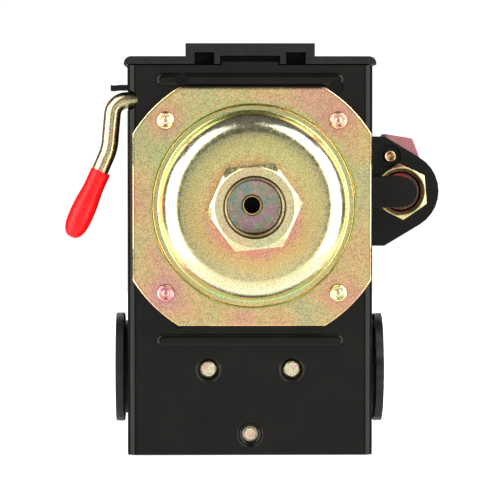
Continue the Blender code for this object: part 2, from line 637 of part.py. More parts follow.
def yoke(switch):
    """The inner frame: two side plates with feet under the rivets, and a bridge for the adjusting screws."""
    foot, bridge_back = SHEET + GAP, BRIDGE_Y + BRIDGE_THICK
    side = [(foot, YOKE_LOW), (12, YOKE_LOW), (14, BRIDGE_LOW), (bridge_back, BRIDGE_LOW)]
    side += [(bridge_back, BRIDGE_HIGH), (19, BRIDGE_HIGH), (19, YOKE_HIGH - 3), (16, YOKE_HIGH)]
    side += [(foot, YOKE_HIGH)]
    foot_inner, foot_high, overlap = 16.4, 80.5, 0.5
    reach = YOKE_OUTER - overlap
    made = block("yoke", (-reach, BRIDGE_Y, BRIDGE_LOW), (reach, bridge_back, BRIDGE_HIGH))
    for sign in (-1, 1):
        low, high = sorted((sign * YOKE_INNER, sign * YOKE_OUTER))
        join(made, prism("arm", side, low, high, "X"))
        low, high = sorted((sign * foot_inner, sign * (YOKE_INNER + overlap)))
        join(made, block("foot", (low, foot, YOKE_LOW), (high, FOOT_BACK, foot_high)))
    tail, guide_inner, guide_outer = 8.0, 6.6, 8.0
    join(made, block("tail", (-tail, BRIDGE_Y, DIFFERENTIAL_Z - 5), (tail, bridge_back, BRIDGE_LOW + 1)))
    for sign in (-1, 1):
        low, high = sorted((sign * guide_inner, sign * guide_outer))
        guide_low, guide_high = DIFFERENTIAL_Z - 4, DIFFERENTIAL_Z + 4
        join(made, block("guide", (low, 22, guide_low), (high, BRIDGE_Y + overlap, guide_high)))
    cut(made, *rivet_holes())
    cut(made, rod("lever_bearing", (LEVER_Y, LEVER_Z), ROD_RADIUS + GAP, -30, 30, "X", 20))
    cut(made, rod("pin_hole", (PIVOT_Y, PIVOT_Z), PIN_RADIUS + GAP, -30, 30, "X", 20))
    cut(made, tongue_window(YOKE_INNER - 1, YOKE_OUTER + 1))
    cut(made, rod("range_hole", (PORT_X, PORT_Z), 3.4, BRIDGE_Y - 1, bridge_back + 1, count=12))
    cut(made, rod("differential_hole", (0, DIFFERENTIAL_Z), 2.4, BRIDGE_Y - 1, bridge_back + 1, count=12))
    return switch.add(made, "zinc_yellow")


def actuator(switch, axis):
    """The pivoted channel that the plunger lifts. Its tongue reaches out over the unloader's stem."""
    half, face, back = ACTUATOR_HALF_WIDTH, ACTUATOR_FACE, ACTUATOR_BACK
    low, high = ACTUATOR_LOW, ACTUATOR_HIGH
    plate = prism("actuator", [(-half, low), (half, low), (half, high), (-half, high)], face, back)
    side = [(back - 1, low + 2), (13, low + 4), (13, high - 4), (17.5, high), (17.5, PIVOT_Z + 3.5)]
    side += [(back, PIVOT_Z + 3.5), (back - 1, high)]
    for sign in (-1, 1):
        inner, outer = sorted((sign * (half - 2), sign * half))
        join(plate, prism("flange", side, inner, outer, "X"))
    tongue = [(half - 1, VALVE_Z - TONGUE_RADIUS)]
    tongue += arc((VALVE_X, VALVE_Z), TONGUE_RADIUS, -90, 90, 8)
    tongue += [(half - 1, VALVE_Z + TONGUE_RADIUS)]
    join(plate, prism("tongue", tongue, face, back))
    join(plate, rod("spring_boss", (PORT_X, PORT_Z), 5.6, back - 0.5, back + 1.5, count=20))
    cut(plate, rod("pin_hole", (PIVOT_Y, PIVOT_Z), PIN_RADIUS + GAP, -30, 30, "X", 20))
    return switch.add(plate, "black_paint", axis)


def pivot_pin(switch):
    end = INNER_WALL - 0.8
    switch.add(rod("pivot_pin", (PIVOT_Y, PIVOT_Z), PIN_RADIUS, -end, end, "X", 16), "steel")


def hex_screw(name, centre, radius, flats, tip, head, head_height):
    """An adjusting screw: a slotted hexagon head on a plain shank that stands for its thread."""
    made = rod(name, centre, radius, tip, head + 0.5, count=12)
    join(made, prism("head", hexagon(centre, flats, 30), head, head + head_height))
    top, slot_depth, slot_half = head + head_height, 1.2, 0.6
    low = (centre[0] - flats, top - slot_depth, centre[1] - slot_half)
    high = (centre[0] + flats, top + 1, centre[1] + slot_half)
    return cut(made, block("slot", low, high))


def range_adjuster(switch, screw_axis, nut_axis):
    """The main spring, between the actuator and a bar that the range screw draws along the yoke."""
    at, front = (PORT_X, PORT_Z), RANGE_NUT_Y
    head = BRIDGE_Y + BRIDGE_THICK + GAP
    switch.add(hex_screw("range_screw", at, 3.0, 10.0, 14.0, head, 4.0), "zinc_yellow", screw_axis)
    bar_half_length, bar_half_height = 22.6, 5.0
    low = (-bar_half_length, front, PORT_Z - bar_half_height)
    high = (bar_half_length, front + RANGE_NUT_THICK, PORT_Z + bar_half_height)
    nut = block("range_nut", low, high)
    join(nut, rod("spring_collar", at, 5.8, front - 1.5, front + 0.5, count=20))
    cut(nut, rod("thread", at, 3.3, front - 5, front + 8, count=12))
    switch.add(nut, "zinc_yellow", nut_axis)
    spring = coil("range_spring", at, 7.4, 1.1, ACTUATOR_BACK + GAP, front - GAP, 6.0, 12, 0)
    switch.add(spring, "steel")


def differential_adjuster(switch, screw_axis, nut_axis):
    at, front = (0, DIFFERENTIAL_Z), DIFFERENTIAL_NUT_Y
    head = BRIDGE_Y + BRIDGE_THICK + GAP
    switch.add(hex_screw("differential_screw", at, 2.0, 7.0, 16.0, head, 3.0), "zinc_yellow", screw_axis)
    half_width, half_height = 6.2, 3.6
    low = (-half_width, front, DIFFERENTIAL_Z - half_height)
    high = (half_width, front + DIFFERENTIAL_NUT_THICK, DIFFERENTIAL_Z + half_height)
    nut = block("differential_nut", low, high)
    cut(nut, rod("thread", at, 2.3, front - 5, front + 8, count=12))
    switch.add(nut, "zinc_yellow", nut_axis)
    spring = coil("differential_spring", at, 3.4, 0.65, ACTUATOR_BACK + GAP, front - GAP, 8.0, 8, 0)
    switch.add(spring, "steel")


# ---------------------------------------------------------------- on/off lever


def at_lever_depth(point):
    return Vector((point[0], LEVER_Y, point[1]))


def lever(switch, axis):
    """The rod lies across the housing in the yoke, and turns down outside the wall to its grip."""
    mouth, tip = at_lever_depth(GRIP_MOUTH), at_lever_depth(GRIP_TIP)
    along = (tip - mouth).normalized()
    rod_end = tip - along * 3.8
    corners = [(INNER_WALL - 1.1, LEVER_Y, LEVER_Z), at_lever_depth(LEVER_KNEE)]
    corners += [at_lever_depth(LEVER_BEND), rod_end]
    line = filleted(corners, (KNEE_RADIUS, LEVER_BEND_RADIUS))
    switch.add(wire("lever_rod", line, ROD_RADIUS, 2), "zinc_yellow", axis)
    switch.add(lever_grip(mouth, along, (tip - mouth).length), "red_vinyl", axis)
    cam = prism("lever_cam", cam_outline(), -13, -6, "X")
    cut(cam, rod("cam_bore", (LEVER_Y, LEVER_Z), ROD_RADIUS + 0.25, -14, -5, "X", 20))
    switch.add(cam, "phenolic", axis)
    clip, clip_thick, clip_bore = YOKE_OUTER + 0.3, 0.6, ROD_RADIUS + 0.25
    clip_radius = 2.9
    profile = [(clip_bore, clip), (clip_radius, clip), (clip_radius, clip + clip_thick)]
    profile += [(clip_bore, clip + clip_thick)]
    switch.add(turned("lever_clip", profile, (LEVER_Y, LEVER_Z), "X", 20, ring=True), "steel", axis)


def cam_outline():
    """A round hub with one lobe, which hangs down with the lever at rest and swings back with it."""
    lobe = arc((LEVER_Y, LEVER_Z - 4.2), 1.8, -160, -20, 5)
    hub = arc((LEVER_Y, LEVER_Z), 2.9, -30, 210, 12)
    return lobe + hub


def lever_grip(mouth, along, length):
    """The vinyl sleeve, turned about the rod's last straight, with a swollen, rounded end."""
    bore = ROD_RADIUS + GRIP_WALL
    outside = [(2.6, 0), (2.55, 0.35 * length), (2.85, 0.6 * length), (2.95, 0.8 * length)]
    outside += [(2.55, 0.92 * length), (1.5, 0.985 * length), (0, length)]
    inside = [(0, length - 3.4), (bore, length - 3.4), (bore, 0)]
    grip = turned("lever_grip", inside + outside, count=16)
    turn = Vector((0, 1, 0)).rotation_difference(along).to_matrix().to_4x4()
    grip.data.transform(Matrix.Translation(mouth * MM) @ turn)
    return grip


# ---------------------------------------------------------------- electrical side


def contact_block(switch):
    """The moulded block with a barrier between each pair of terminals."""
    low, high = (-BLOCK_HALF_WIDTH, BLOCK_FRONT, BLOCK_LOW), (BLOCK_HALF_WIDTH, BLOCK_BACK, BLOCK_HIGH)
    made = block("contact_block", low, high)
    for x in (-POLE_X, 0, POLE_X):
        join(made, block("barrier", (x - 0.6, BLOCK_BACK - 1, BLOCK_LOW), (x + 0.6, 17, TERMINAL_Z + 4)))
    for x in (-BLOCK_SCREW_X, BLOCK_SCREW_X):
        cut(made, rod("screw_hole", (x, BLOCK_SCREW_Z), 2.3, 0, 20, count=12))
    for x in TERMINAL_X:
        cut(made, rod("terminal_hole", (x, TERMINAL_Z), 2.2, 4.6, 20, count=12))
    return switch.add(made, "phenolic")


def block_screws(switch):
    for number, x in enumerate((-BLOCK_SCREW_X, BLOCK_SCREW_X), 1):
        at = (x, BLOCK_SCREW_Z)
        screw = slotted_screw(f"block_screw_{number}", at, 2.0, 2.9, 0.35, BLOCK_BACK + GAP, 1.8)
        switch.add(screw, "zinc_yellow")


def terminals(switch):
    """A pad under each screw, with a strip up to a fixed contact."""
    front, back, half = BLOCK_BACK + GAP, BLOCK_BACK + GAP + 1.0, TERMINAL_HALF_WIDTH
    for number, x in enumerate(TERMINAL_X, 1):
        pole = math.copysign(POLE_X, x)
        side = math.copysign(1, x - pole)
        contact_x = pole + side * CONTACT_REACH
        strip_low, strip_high = contact_x - 1.9, contact_x + 1.9
        pad_low, pad_high = TERMINAL_Z - half, TERMINAL_Z + half
        pad = block(f"terminal_{number}", (x - half, front, pad_low), (x + half, back, pad_high))
        join(pad, block("strip", (strip_low, front, pad_high - 1), (strip_high, back, CONTACT_Z + 3)))
        join(pad, rod("contact", (contact_x, CONTACT_Z), 1.8, back - 0.5, back + 1, count=12))
        cut(pad, rod("hole", (x, TERMINAL_Z), 2.2, front - 1, back + 1, count=12))
        switch.add(pad, "brass")
        at = (x, TERMINAL_Z)
        screw = slotted_screw(f"terminal_screw_{number}", at, 1.9, 3.2, 5.0, back + GAP, 2.2)
        switch.add(screw, "zinc_yellow")


def contact_carrier(switch, axis):
    """The moulded carrier, with a window for each contact bridge and a foot on the actuator."""
    low, high = CONTACT_Z - 3.4, CONTACT_Z + 3.4
    web = CARRIER_BACK - 2
    made = block("contact_carrier", (-POLE_X - 2.6, web, low), (POLE_X + 2.6, CARRIER_BACK, high))
    for x in (-POLE_X, POLE_X):
        join(made, block("tower", (x - 2.6, CARRIER_FRONT, low), (x + 2.6, web + 0.5, high)))
        cut(made, block("window", (x - 3, CARRIER_FRONT + 1.1, low + 0.8), (x + 3, web, high - 0.8)))
    arm, foot_top = 3.2, ACTUATOR_LOW + 3.2
    join(made, block("arm", (-arm, web, high - 0.5), (arm, CARRIER_BACK, foot_top)))
    foot_front = ACTUATOR_BACK + 0.4
    join(made, block("foot", (-arm, foot_front, foot_top - 3), (arm, web + 0.5, foot_top)))
    switch.add(made, "phenolic", axis)
    half_length, half_height, plate_front, plate_back = 7.6, 2.2, 14.9, 15.7
    for number, x in enumerate((-POLE_X, POLE_X), 1):
        low = (x - half_length, plate_front, CONTACT_Z - half_height)
        high = (x + half_length, plate_back, CONTACT_Z + half_height)
        bridge = block(f"contact_bridge_{number}", low, high)
        for at in (x - CONTACT_REACH, x + CONTACT_REACH):
            join(bridge, rod("contact", (at, CONTACT_Z), 1.8, 13.6, plate_front + 0.3, count=12))
        switch.add(bridge, "brass", axis)
        name = f"contact_spring_{number}"
        spring = coil(name, (x, CONTACT_Z), 1.5, 0.3, plate_back + GAP, web - GAP, 4.0, 8, 0)
        switch.add(spring, "steel", axis)


def grommets(switch):
    """A rubber cable bush in each side wall."""
    face = HALF_WIDTH + GROMMET_STANDOFF
    outer, inner = face + GROMMET_THICK, INNER_WALL - GAP
    collar, lip = GROMMET_COLLAR_RADIUS, inner - 1.9
    for name, sign in (("grommet_left", -1), ("grommet_right", 1)):
        profile = [(GROMMET_BORE, outer), (GROMMET_RADIUS - 0.4, outer), (GROMMET_RADIUS, outer - 0.4)]
        profile += [(GROMMET_RADIUS, face), (collar, face), (collar, inner), (collar + 1.3, inner)]
        profile += [(collar + 0.9, lip), (GROMMET_BORE, lip)]
        bush = [(radius, sign * along) for radius, along in profile]
        switch.add(turned(name, bush, (ENTRY_Y, ENTRY_Z), "X", 24, ring=True), "black_rubber")


def ground_screw(switch):
    """The earth screw, in the left wall from inside, its tip flush with the outside."""
    tip, head = -HALF_WIDTH, -INNER_WALL + GAP
    screw = slotted_screw("ground_screw", GROUND_AT, GROUND_SCREW_RADIUS, 3.2, tip, head, 1.4, "X")
    switch.add(screw, "green_paint")


# ---------------------------------------------------------------- unloader valve


def ear_outline():
    """The ear: flat at its shoulders, then straight to an arc about the valve's axis."""
    left, rise = HALF_WIDTH + GAP, EAR_HALF_HEIGHT
    reach = EAR_SHOULDER_X - VALVE_X
    distance = math.hypot(reach, rise)
    tangent = math.degrees(math.atan2(rise, reach) - math.acos(EAR_RADIUS / distance))
    outline = [(left, VALVE_Z - rise), (EAR_SHOULDER_X, VALVE_Z - rise)]
    outline += arc((VALVE_X, VALVE_Z), EAR_RADIUS, -tangent, tangent, 10)
    return outline + [(EAR_SHOULDER_X, VALVE_Z + rise), (left, VALVE_Z + rise)]


def unloader_bracket(switch):
    """The ear and the foot that it is folded from, riveted to the side wall."""
    left, back = HALF_WIDTH + GAP, EAR_Y + EAR_THICK
    made = prism("unloader_bracket", ear_outline(), EAR_Y, back)
    foot_low, foot_high = VALVE_Z - EAR_HALF_HEIGHT, VALVE_Z - 0.4
    join(made, block("foot", (left, EAR_Y + 0.5, foot_low), (left + SHEET, 29.5, foot_high)))
    cut(made, rod("valve_hole", (VALVE_X, VALVE_Z), VALVE_HOLE_RADIUS, EAR_Y - 1, back + 1, count=24))
    cut(made, rod("locating_hole", LOCATING_AT, LOCATING_HOLE_RADIUS, EAR_Y - 1, back + 1, count=20))
    for z in BRACKET_RIVET_Z:
        hole_radius = BRACKET_RIVET_RADIUS + GAP
        cut(made, rod("rivet_hole", (BRACKET_RIVET_Y, z), hole_radius, left - 1, left + 3, "X", 16))
    switch.add(made, "black_paint")
    for number, z in enumerate(BRACKET_RIVET_Z, 1):
        inside, outside = INNER_WALL - GAP, left + SHEET + GAP
        shank, head, low, high = BRACKET_RIVET_RADIUS, 2.4, inside - 1.0, outside + 1.1
        profile = [(0, low), (head - 0.4, low), (head, low + 0.4), (head, inside), (shank, inside)]
        profile += [(shank, outside), (head, outside), (head - 0.2, high - 0.4), (head / 2, high), (0, high)]
        rivet = turned(f"bracket_rivet_{number}", profile, (BRACKET_RIVET_Y, z), "X", 12)
        switch.add(rivet, "zinc_yellow")


def unloader_body(switch):
    """The valve: a barrel through the ear, and beside it the hexagon of the tube connection."""
    seat, neck = EAR_Y + EAR_THICK + GAP, 12.4
    valve, tube = (VALVE_X, VALVE_Z), (TUBE_X, TUBE_Z)
    barrel = [(0, neck), (4.6, neck), (4.6, seat), (5.4, seat), (5.4, BARREL_END - 1.5)]
    barrel += [(4.4, BARREL_END), (0, BARREL_END)]
    made = turned("unloader_body", barrel, valve, count=20)
    join(made, prism("hexagon", hexagon(tube, TUBE_HEX_FLATS, TUBE_HEX_TURN), seat, 26))
    join(made, rod("stub", tube, 4.5, 25, 31, count=16))
    cut(made, rod("tube_bore", tube, 3.2, 22, 33, count=16))
    room_front, room_back = SPRING_ROOM
    cut(made, rod("spring_room", valve, SPRING_ROOM_RADIUS, room_front, room_back, count=16))
    cut(made, rod("stem_bore", valve, STEM_RADIUS + GAP, 10, room_front + 1, count=12))
    passage_y = (room_front + room_back) / 2 + 0.8
    cut(made, rod("passage", (VALVE_X, passage_y), 0.9, VALVE_Z + 2, TUBE_Z, "Z", 12))
    cut(made, rod("locating_bore", LOCATING_AT, 1.8, seat - 1, 20.5, count=12))
    switch.add(made, "zinc_yellow")
    bush = [(0, 15.0), (0.75, 14.5), (1.2, 14.3), (1.5, 14.7), (1.5, 20), (0, 20)]
    switch.add(turned("locating_rivet", bush, LOCATING_AT, count=12), "zinc_yellow")


def hex_nut(name, centre, flats, turn, low, high, bore):
    """A chamfered hexagon with a turned bore through it."""
    made = prism(name, hexagon(centre, flats, turn), low, high)
    corner, face = flats / math.sqrt(3) + 0.1, flats / 2 - 0.1
    slope = (corner - face) * math.tan(math.radians(30))
    round_off = [(0, low), (face, low), (corner, low + slope), (corner, high - slope), (face, high)]
    keep_inside(made, turned("chamfer", round_off + [(0, high)], centre, count=24))
    return cut(made, turned("bore", bore, centre, count=20))


def unloader_nuts(switch):
    front, back = ACTUATOR_BACK + 1.6, EAR_Y - GAP
    bore = [(0, front - 1), (5.4, front - 1), (5.4, front), (4.95, front + 0.6), (4.95, back + 1)]
    bore += [(0, back + 1)]
    nut = hex_nut("unloader_nut", (VALVE_X, VALVE_Z), NUT_FLATS, NUT_TURN, front, back, bore)
    switch.add(nut, "zinc_yellow")
    bore = [(0, 26), (4.8, 26), (4.8, 32), (3.3, 33), (3.3, 36), (0, 36)]
    switch.add(hex_nut("tube_nut", (TUBE_X, TUBE_Z), NUT_FLATS, 30, 26.8, 34.6, bore), "zinc_yellow")
    ring = [(3.2, 31.3), (4.4, 31.3), (3.9, 32.1), (3.2, 32.3)]
    switch.add(turned("tube_ferrule", ring, (TUBE_X, TUBE_Z), count=20, ring=True), "brass")


def unloader_seal(switch):
    ring = [(2.1, 11), (4.5, 11), (4.5, 12.1), (2.1, 12.1)]
    switch.add(turned("unloader_seal", ring, (VALVE_X, VALVE_Z), count=20, ring=True), "red_seal")


def unloader_stem(switch, axis):
    """The stem that the tongue pushes in, with a collar that its spring pushes back."""
    tip, radius, collar_radius = ACTUATOR_BACK + 0.4, STEM_RADIUS, 2.8
    collar, end = SPRING_ROOM[0] + GAP, SPRING_ROOM[1] - 1.6
    profile = [(0, tip), (radius - 0.5, tip), (radius, tip + 0.5), (radius, collar)]
    profile += [(collar_radius, collar), (collar_radius, collar + 0.8), (radius, collar + 0.8)]
    profile += [(radius, end), (0, end)]
    at = (VALVE_X, VALVE_Z)
    switch.add(turned("unloader_stem", profile, at, count=12), "steel", axis)
    spring = coil("unloader_spring", at, 2.4, 0.35, collar + 1.1, SPRING_ROOM[1] - GAP, 3.0, 8, 0)
    switch.add(spring, "steel")


# ---------------------------------------------------------------- whole object


def clear_scene():
    for old in list(bpy.data.objects):
        bpy.data.objects.remove(old)


def main():
    clear_scene()
    switch = Switch()
    cover_axis = switch.axis_at("cover_axis", (0, COVER_SPLIT, LENGTH / 2))
    lever_axis = switch.axis_at("lever_axis", (0, LEVER_Y, LEVER_Z))
    tilt_axis = switch.axis_at("actuator_axis", (0, PIVOT_Y, PIVOT_Z))
    port_axis = switch.axis_at("plunger_axis", (PORT_X, 0, PORT_Z))
    range_axis = switch.axis_at("range_axis", (PORT_X, BRIDGE_Y, PORT_Z))
    range_slide = switch.axis_at("range_nut_axis", (PORT_X, RANGE_NUT_Y, PORT_Z))
    differential_axis = switch.axis_at("differential_axis", (0, BRIDGE_Y, DIFFERENTIAL_Z))
    differential_slide = switch.axis_at("differential_nut_axis", (0, DIFFERENTIAL_NUT_Y, DIFFERENTIAL_Z))
    carrier_axis = switch.axis_at("carrier_axis", (0, CARRIER_FRONT, CONTACT_Z))
    stem_axis = switch.axis_at("stem_axis", (VALVE_X, ACTUATOR_BACK, VALVE_Z))

    base_frame(switch)
    cover_shell(switch, cover_axis)
    cover_post(switch)
    pressure_flange(switch)
    port_fitting(switch)
    flange_rivets(switch)
    diaphragm(switch)
    plunger(switch, port_axis)
    yoke(switch)
    actuator(switch, tilt_axis)
    pivot_pin(switch)
    range_adjuster(switch, range_axis, range_slide)
    differential_adjuster(switch, differential_axis, differential_slide)
    lever(switch, lever_axis)
    contact_block(switch)
    block_screws(switch)
    terminals(switch)
    contact_carrier(switch, carrier_axis)
    grommets(switch)
    ground_screw(switch)
    unloader_bracket(switch)
    unloader_body(switch)
    unloader_nuts(switch)
    unloader_seal(switch)
    unloader_stem(switch, stem_axis)


main()
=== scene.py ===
"""The looks of the pressure switch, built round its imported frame."""

import json
import math

import bmesh
import bpy
from mathutils import Matrix, Vector, noise


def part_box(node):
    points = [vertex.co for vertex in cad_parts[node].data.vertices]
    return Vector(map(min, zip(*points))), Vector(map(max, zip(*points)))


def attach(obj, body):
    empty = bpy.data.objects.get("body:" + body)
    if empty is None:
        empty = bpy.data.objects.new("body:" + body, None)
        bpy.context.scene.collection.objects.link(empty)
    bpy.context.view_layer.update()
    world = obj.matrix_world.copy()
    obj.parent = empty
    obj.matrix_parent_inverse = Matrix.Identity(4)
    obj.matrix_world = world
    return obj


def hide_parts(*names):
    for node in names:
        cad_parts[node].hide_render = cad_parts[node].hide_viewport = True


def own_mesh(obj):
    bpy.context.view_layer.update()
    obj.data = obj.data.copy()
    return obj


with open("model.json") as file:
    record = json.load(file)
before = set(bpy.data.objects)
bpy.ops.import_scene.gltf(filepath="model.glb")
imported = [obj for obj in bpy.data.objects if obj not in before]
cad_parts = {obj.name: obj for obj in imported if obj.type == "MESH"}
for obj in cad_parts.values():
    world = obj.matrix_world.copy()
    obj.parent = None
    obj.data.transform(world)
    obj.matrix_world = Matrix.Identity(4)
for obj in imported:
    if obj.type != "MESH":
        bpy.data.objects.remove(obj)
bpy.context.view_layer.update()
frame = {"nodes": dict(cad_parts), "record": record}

# Sizes are in millimetres, in the switch's own frame: X is 0 on the middle of the steel base, Y is 0 on its
# front face and runs towards the back of the cover, and Z is 0 on the plane that it stands on.
MM = 0.001
SHEET = 1.5
HALF_WIDTH, LENGTH, WALL_DEPTH, BEND_RADIUS = 28.5, 90.6, 31.0, 2.2
INNER_WALL = HALF_WIDTH - SHEET
BEAD_HALF_LENGTH, BEAD_HALF_WIDTH, BEAD_HEIGHT, BEAD_Z = 21.8, 1.5, 0.75, (26.7, 87.3)
TOUCHING, FLAT_ANGLE, EDGE_ANGLE = 1e-6, math.radians(0.6), math.radians(35)


def millimetres(node):
    low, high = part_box(node)
    return low / MM, high / MM


BASE_LOW, BASE_HIGH = millimetres("base_frame")
ORIGIN = Vector((BASE_HIGH.x - HALF_WIDTH, BASE_LOW.y + BEAD_HEIGHT, 0))


def here(node):
    """A node's lowest and highest corners in the switch's own frame."""
    low, high = millimetres(node)
    return low - ORIGIN, high - ORIGIN


def middle(node):
    low, high = here(node)
    return (low + high) / 2


def on_y(node):
    """Where a node's axis along Y stands, as (x, z)."""
    at = middle(node)
    return (at.x, at.z)


def on_x(node):
    """Where a node's axis along X stands, as (y, z)."""
    at = middle(node)
    return (at.y, at.z)


# Places that the frame gives. The dome, and all that sits in it, stands a little off the port's own axis.
PORT_AT = on_y("port_fitting")
DOME_AT = (PORT_AT[0] + 0.3, PORT_AT[1] + 0.25)
HOLE_AT = (DOME_AT[0] - 0.45, DOME_AT[1] + 0.35)
PORT_FACE = here("port_fitting")[0].y
STEM_AT, TUBE_AT, LOCATING_AT = on_y("unloader_stem"), on_y("tube_nut"), on_y("locating_rivet")
POST_AT, ENTRY_AT = on_y("cover_post"), on_x("grommet_right")
LEVER_AT, PIVOT_AT = on_x("lever_clip"), on_x("pivot_pin")
PART_SHEET, ROD_RADIUS = 2.0, 1.95
ACTUATOR_FACE, EAR_FRONT = here("actuator")[0].y, here("unloader_bracket")[0].y
ACTUATOR_BACK, EAR_BACK = ACTUATOR_FACE + PART_SHEET, EAR_FRONT + PART_SHEET
COVER_BACK, BOSS_TOP = here("cover")[1].y, here("cover")[1].z
WELL_FLOOR = here("cover_post")[1].y + 0.4
LEFT_WALL, RIGHT_WALL = (-HALF_WIDTH - 1, -INNER_WALL + 1), (INNER_WALL - 1, HALF_WIDTH + 1)
FLANGE_RIVETS = [f"flange_rivet_{number}" for number in range(1, 5)]
PINK_RIVETS = FLANGE_RIVETS[1:3]

# Choices. Pressed holes are (x, z, radius), and the grip's outline is (radius, share of its length). A spring
# is (name, its seat's depth in the nut, coil radius, wire radius, drawn radius, turns, steps, sides, travel).
# Nodes whose own shape serves are (finish, rounding of the edges, names).
PRESSED_HOLES = ((-15.8, 87.3, 1.55), (20.0, 85.5, 1.7), (-16.5, 31.0, 1.5))
GRIP_SHAPE = [(2.36, 0.24), (2.46, 0.33), (2.74, 0.46), (2.84, 0.62), (2.82, 0.74), (2.62, 0.84)]
GRIP_SHAPE += [(2.15, 0.925), (1.4, 0.98), (0.7, 0.996), (0, 1)]
SPRINGS = [("range", 1.5, 7.4, 1.1, 1.08, 6.5, 40, 5, 1.2)]
SPRINGS += [("differential", 0, 3.4, 0.65, 0.62, 8.5, 28, 4, 2.1)]
COPIED = [
    ("paint", 0.22, ["actuator", "unloader_bracket"]),
    ("zinc", 0.22, ["yoke"]),
    ("zinc", 0.25, ["range_nut"]),
    ("zinc", 0.2, ["differential_nut"]),
    ("phenolic", 0.3, ["lever_cam"]),
    ("phenolic", 0.25, ["contact_block"]),
    ("phenolic", 0.2, ["contact_carrier"]),
    ("brass", 0.12, [f"terminal_{number}" for number in range(1, 5)]),
    ("brass", 0.12, ["contact_bridge_1", "contact_bridge_2"]),
]


# ---- outlines


def arc(centre, radius, start, end, count):
    points = []
    for i in range(count + 1):
        angle = math.radians(start + (end - start) * i / count)
        points.append((centre[0] + radius * math.cos(angle), centre[1] + radius * math.sin(angle)))
    return points


def circle(centre, radius, count):
    return arc(centre, radius, 0, 360, count)[:-1]


def hexagon(centre, flats, turn):
    return arc(centre, flats / math.sqrt(3), turn, turn + 360, 6)[:-1]


def stadium(centre, half_length, radius, count=14):
    right = arc((centre[0] + half_length - radius, centre[1]), radius, -90, 90, count)
    left = arc((centre[0] - half_length + radius, centre[1]), radius, 90, 270, count)
    return right + left


def filleted(corners, radii, count=14):
    """A line through the corners, with each inner corner rounded."""
    line = [Vector(corners[0])]
    for before, corner, after, radius in zip(corners, corners[1:], corners[2:], radii):
        before, corner, after = Vector(before), Vector(corner), Vector(after)
        back, on = (before - corner).normalized(), (after - corner).normalized()
        half = back.angle(on) / 2
        centre = corner + (back + on).normalized() * (radius / math.sin(half))
        start = corner + back * (radius / math.tan(half)) - centre
        end = corner + on * (radius / math.tan(half)) - centre
        sweep = start.angle(end)
        for i in range(count + 1):
            share = i / count
            mixed = start * math.sin((1 - share) * sweep) + end * math.sin(share * sweep)
            line.append(centre + mixed / math.sin(sweep))
    return line + [Vector(corners[-1])]


def raised(base, profile):
    """A profile's points moved along its axis."""
    return [(radius, base + along) for radius, along in profile]


def rounded(profile, radius, count=4):
    """A turned profile with every corner between its ends rounded."""
    line = [profile[0]]
    for before, corner, after in zip(profile, profile[1:], profile[2:]):
        before, corner, after = Vector(before), Vector(corner), Vector(after)
        back, on = before - corner, after - corner
        if min(back.length, on.length) < TOUCHING:
            line.append(tuple(corner))
            continue
        reach = min(radius, back.length * 0.45, on.length * 0.45)
        start, end = corner + back.normalized() * reach, corner + on.normalized() * reach
        for i in range(count + 1):
            t = i / count
            line.append(tuple(start * (1 - t) ** 2 + corner * 2 * t * (1 - t) + end * t ** 2))
    return line + [profile[-1]]


def ridges(start, end, pitch, shape):
    """A stretch of a turned profile that repeats its (radius, share of a pitch) points."""
    count = max(2, round(abs(end - start) / pitch))
    step = (end - start) / count
    return [(radius, start + step * (i + share)) for i in range(count) for radius, share in shape]


def thread(radius, start, end, pitch, depth):
    return ridges(start, end, pitch, [(radius - depth, 0.1), (radius, 0.5), (radius, 0.6)])


def thread_bore(radius, start, end, pitch, depth):
    crest = radius - depth
    return ridges(start, end, pitch, [(radius, 0.05), (crest, 0.5), (crest, 0.58), (radius, 0.97)])


def round_cornered(low, high, radius, count=8):
    """A rectangle in X and Z with round corners."""
    left, right, bottom, top = low.x + radius, high.x - radius, low.z + radius, high.z - radius
    outline = []
    for x, z, start in ((right, top, 0), (left, top, 90), (left, bottom, 180), (right, bottom, 270)):
        outline += arc((x, z), radius, start, start + 90, count)
    return outline


# ---- solids


def laid(point, along, axis):
    a, b = point
    return {"X": (along, a, b), "Y": (a, along, b), "Z": (a, b, along)}[axis]


def placed(name, data):
    made = bpy.data.objects.new(name, data)
    bpy.context.scene.collection.objects.link(made)
    return made


def from_shape(name, shape):
    """Puts a shape, drawn in millimetres in the switch's frame, into the scene in metres."""
    bmesh.ops.recalc_face_normals(shape, faces=shape.faces)
    for vert in shape.verts:
        vert.co = (vert.co + ORIGIN) * MM
    mesh = bpy.data.meshes.new(name)
    shape.to_mesh(mesh)
    shape.free()
    return placed(name, mesh)


def skinned(name, shape, rings, ring):
    """Faces between neighbouring rings of corners, which are closed end to end or capped."""
    pairs = list(zip(rings, rings[1:]))
    if ring:
        pairs.append((rings[-1], rings[0]))
    for low, high in pairs:
        for i in range(len(low)):
            j = (i + 1) % len(low)
            corners = list(dict.fromkeys((low[i], low[j], high[j], high[i])))
            if len(corners) > 2:
                shape.faces.new(corners)
    if not ring:
        for end in (rings[0], rings[-1]):
            if end[0] is not end[1]:
                shape.faces.new(end)
    return from_shape(name, shape)


def loft(name, sections, axis="Y", ring=False):
    shape = bmesh.new()
    rings = [[shape.verts.new(laid(p, along, axis)) for p in outline] for along, outline in sections]
    return skinned(name, shape, rings, ring)


def prism(name, outline, low, high, axis="Y"):
    return loft(name, [(low, outline), (high, outline)], axis)


def block(name, low, high):
    outline = [(low[0], low[2]), (high[0], low[2]), (high[0], high[2]), (low[0], high[2])]
    return prism(name, outline, low[1], high[1])


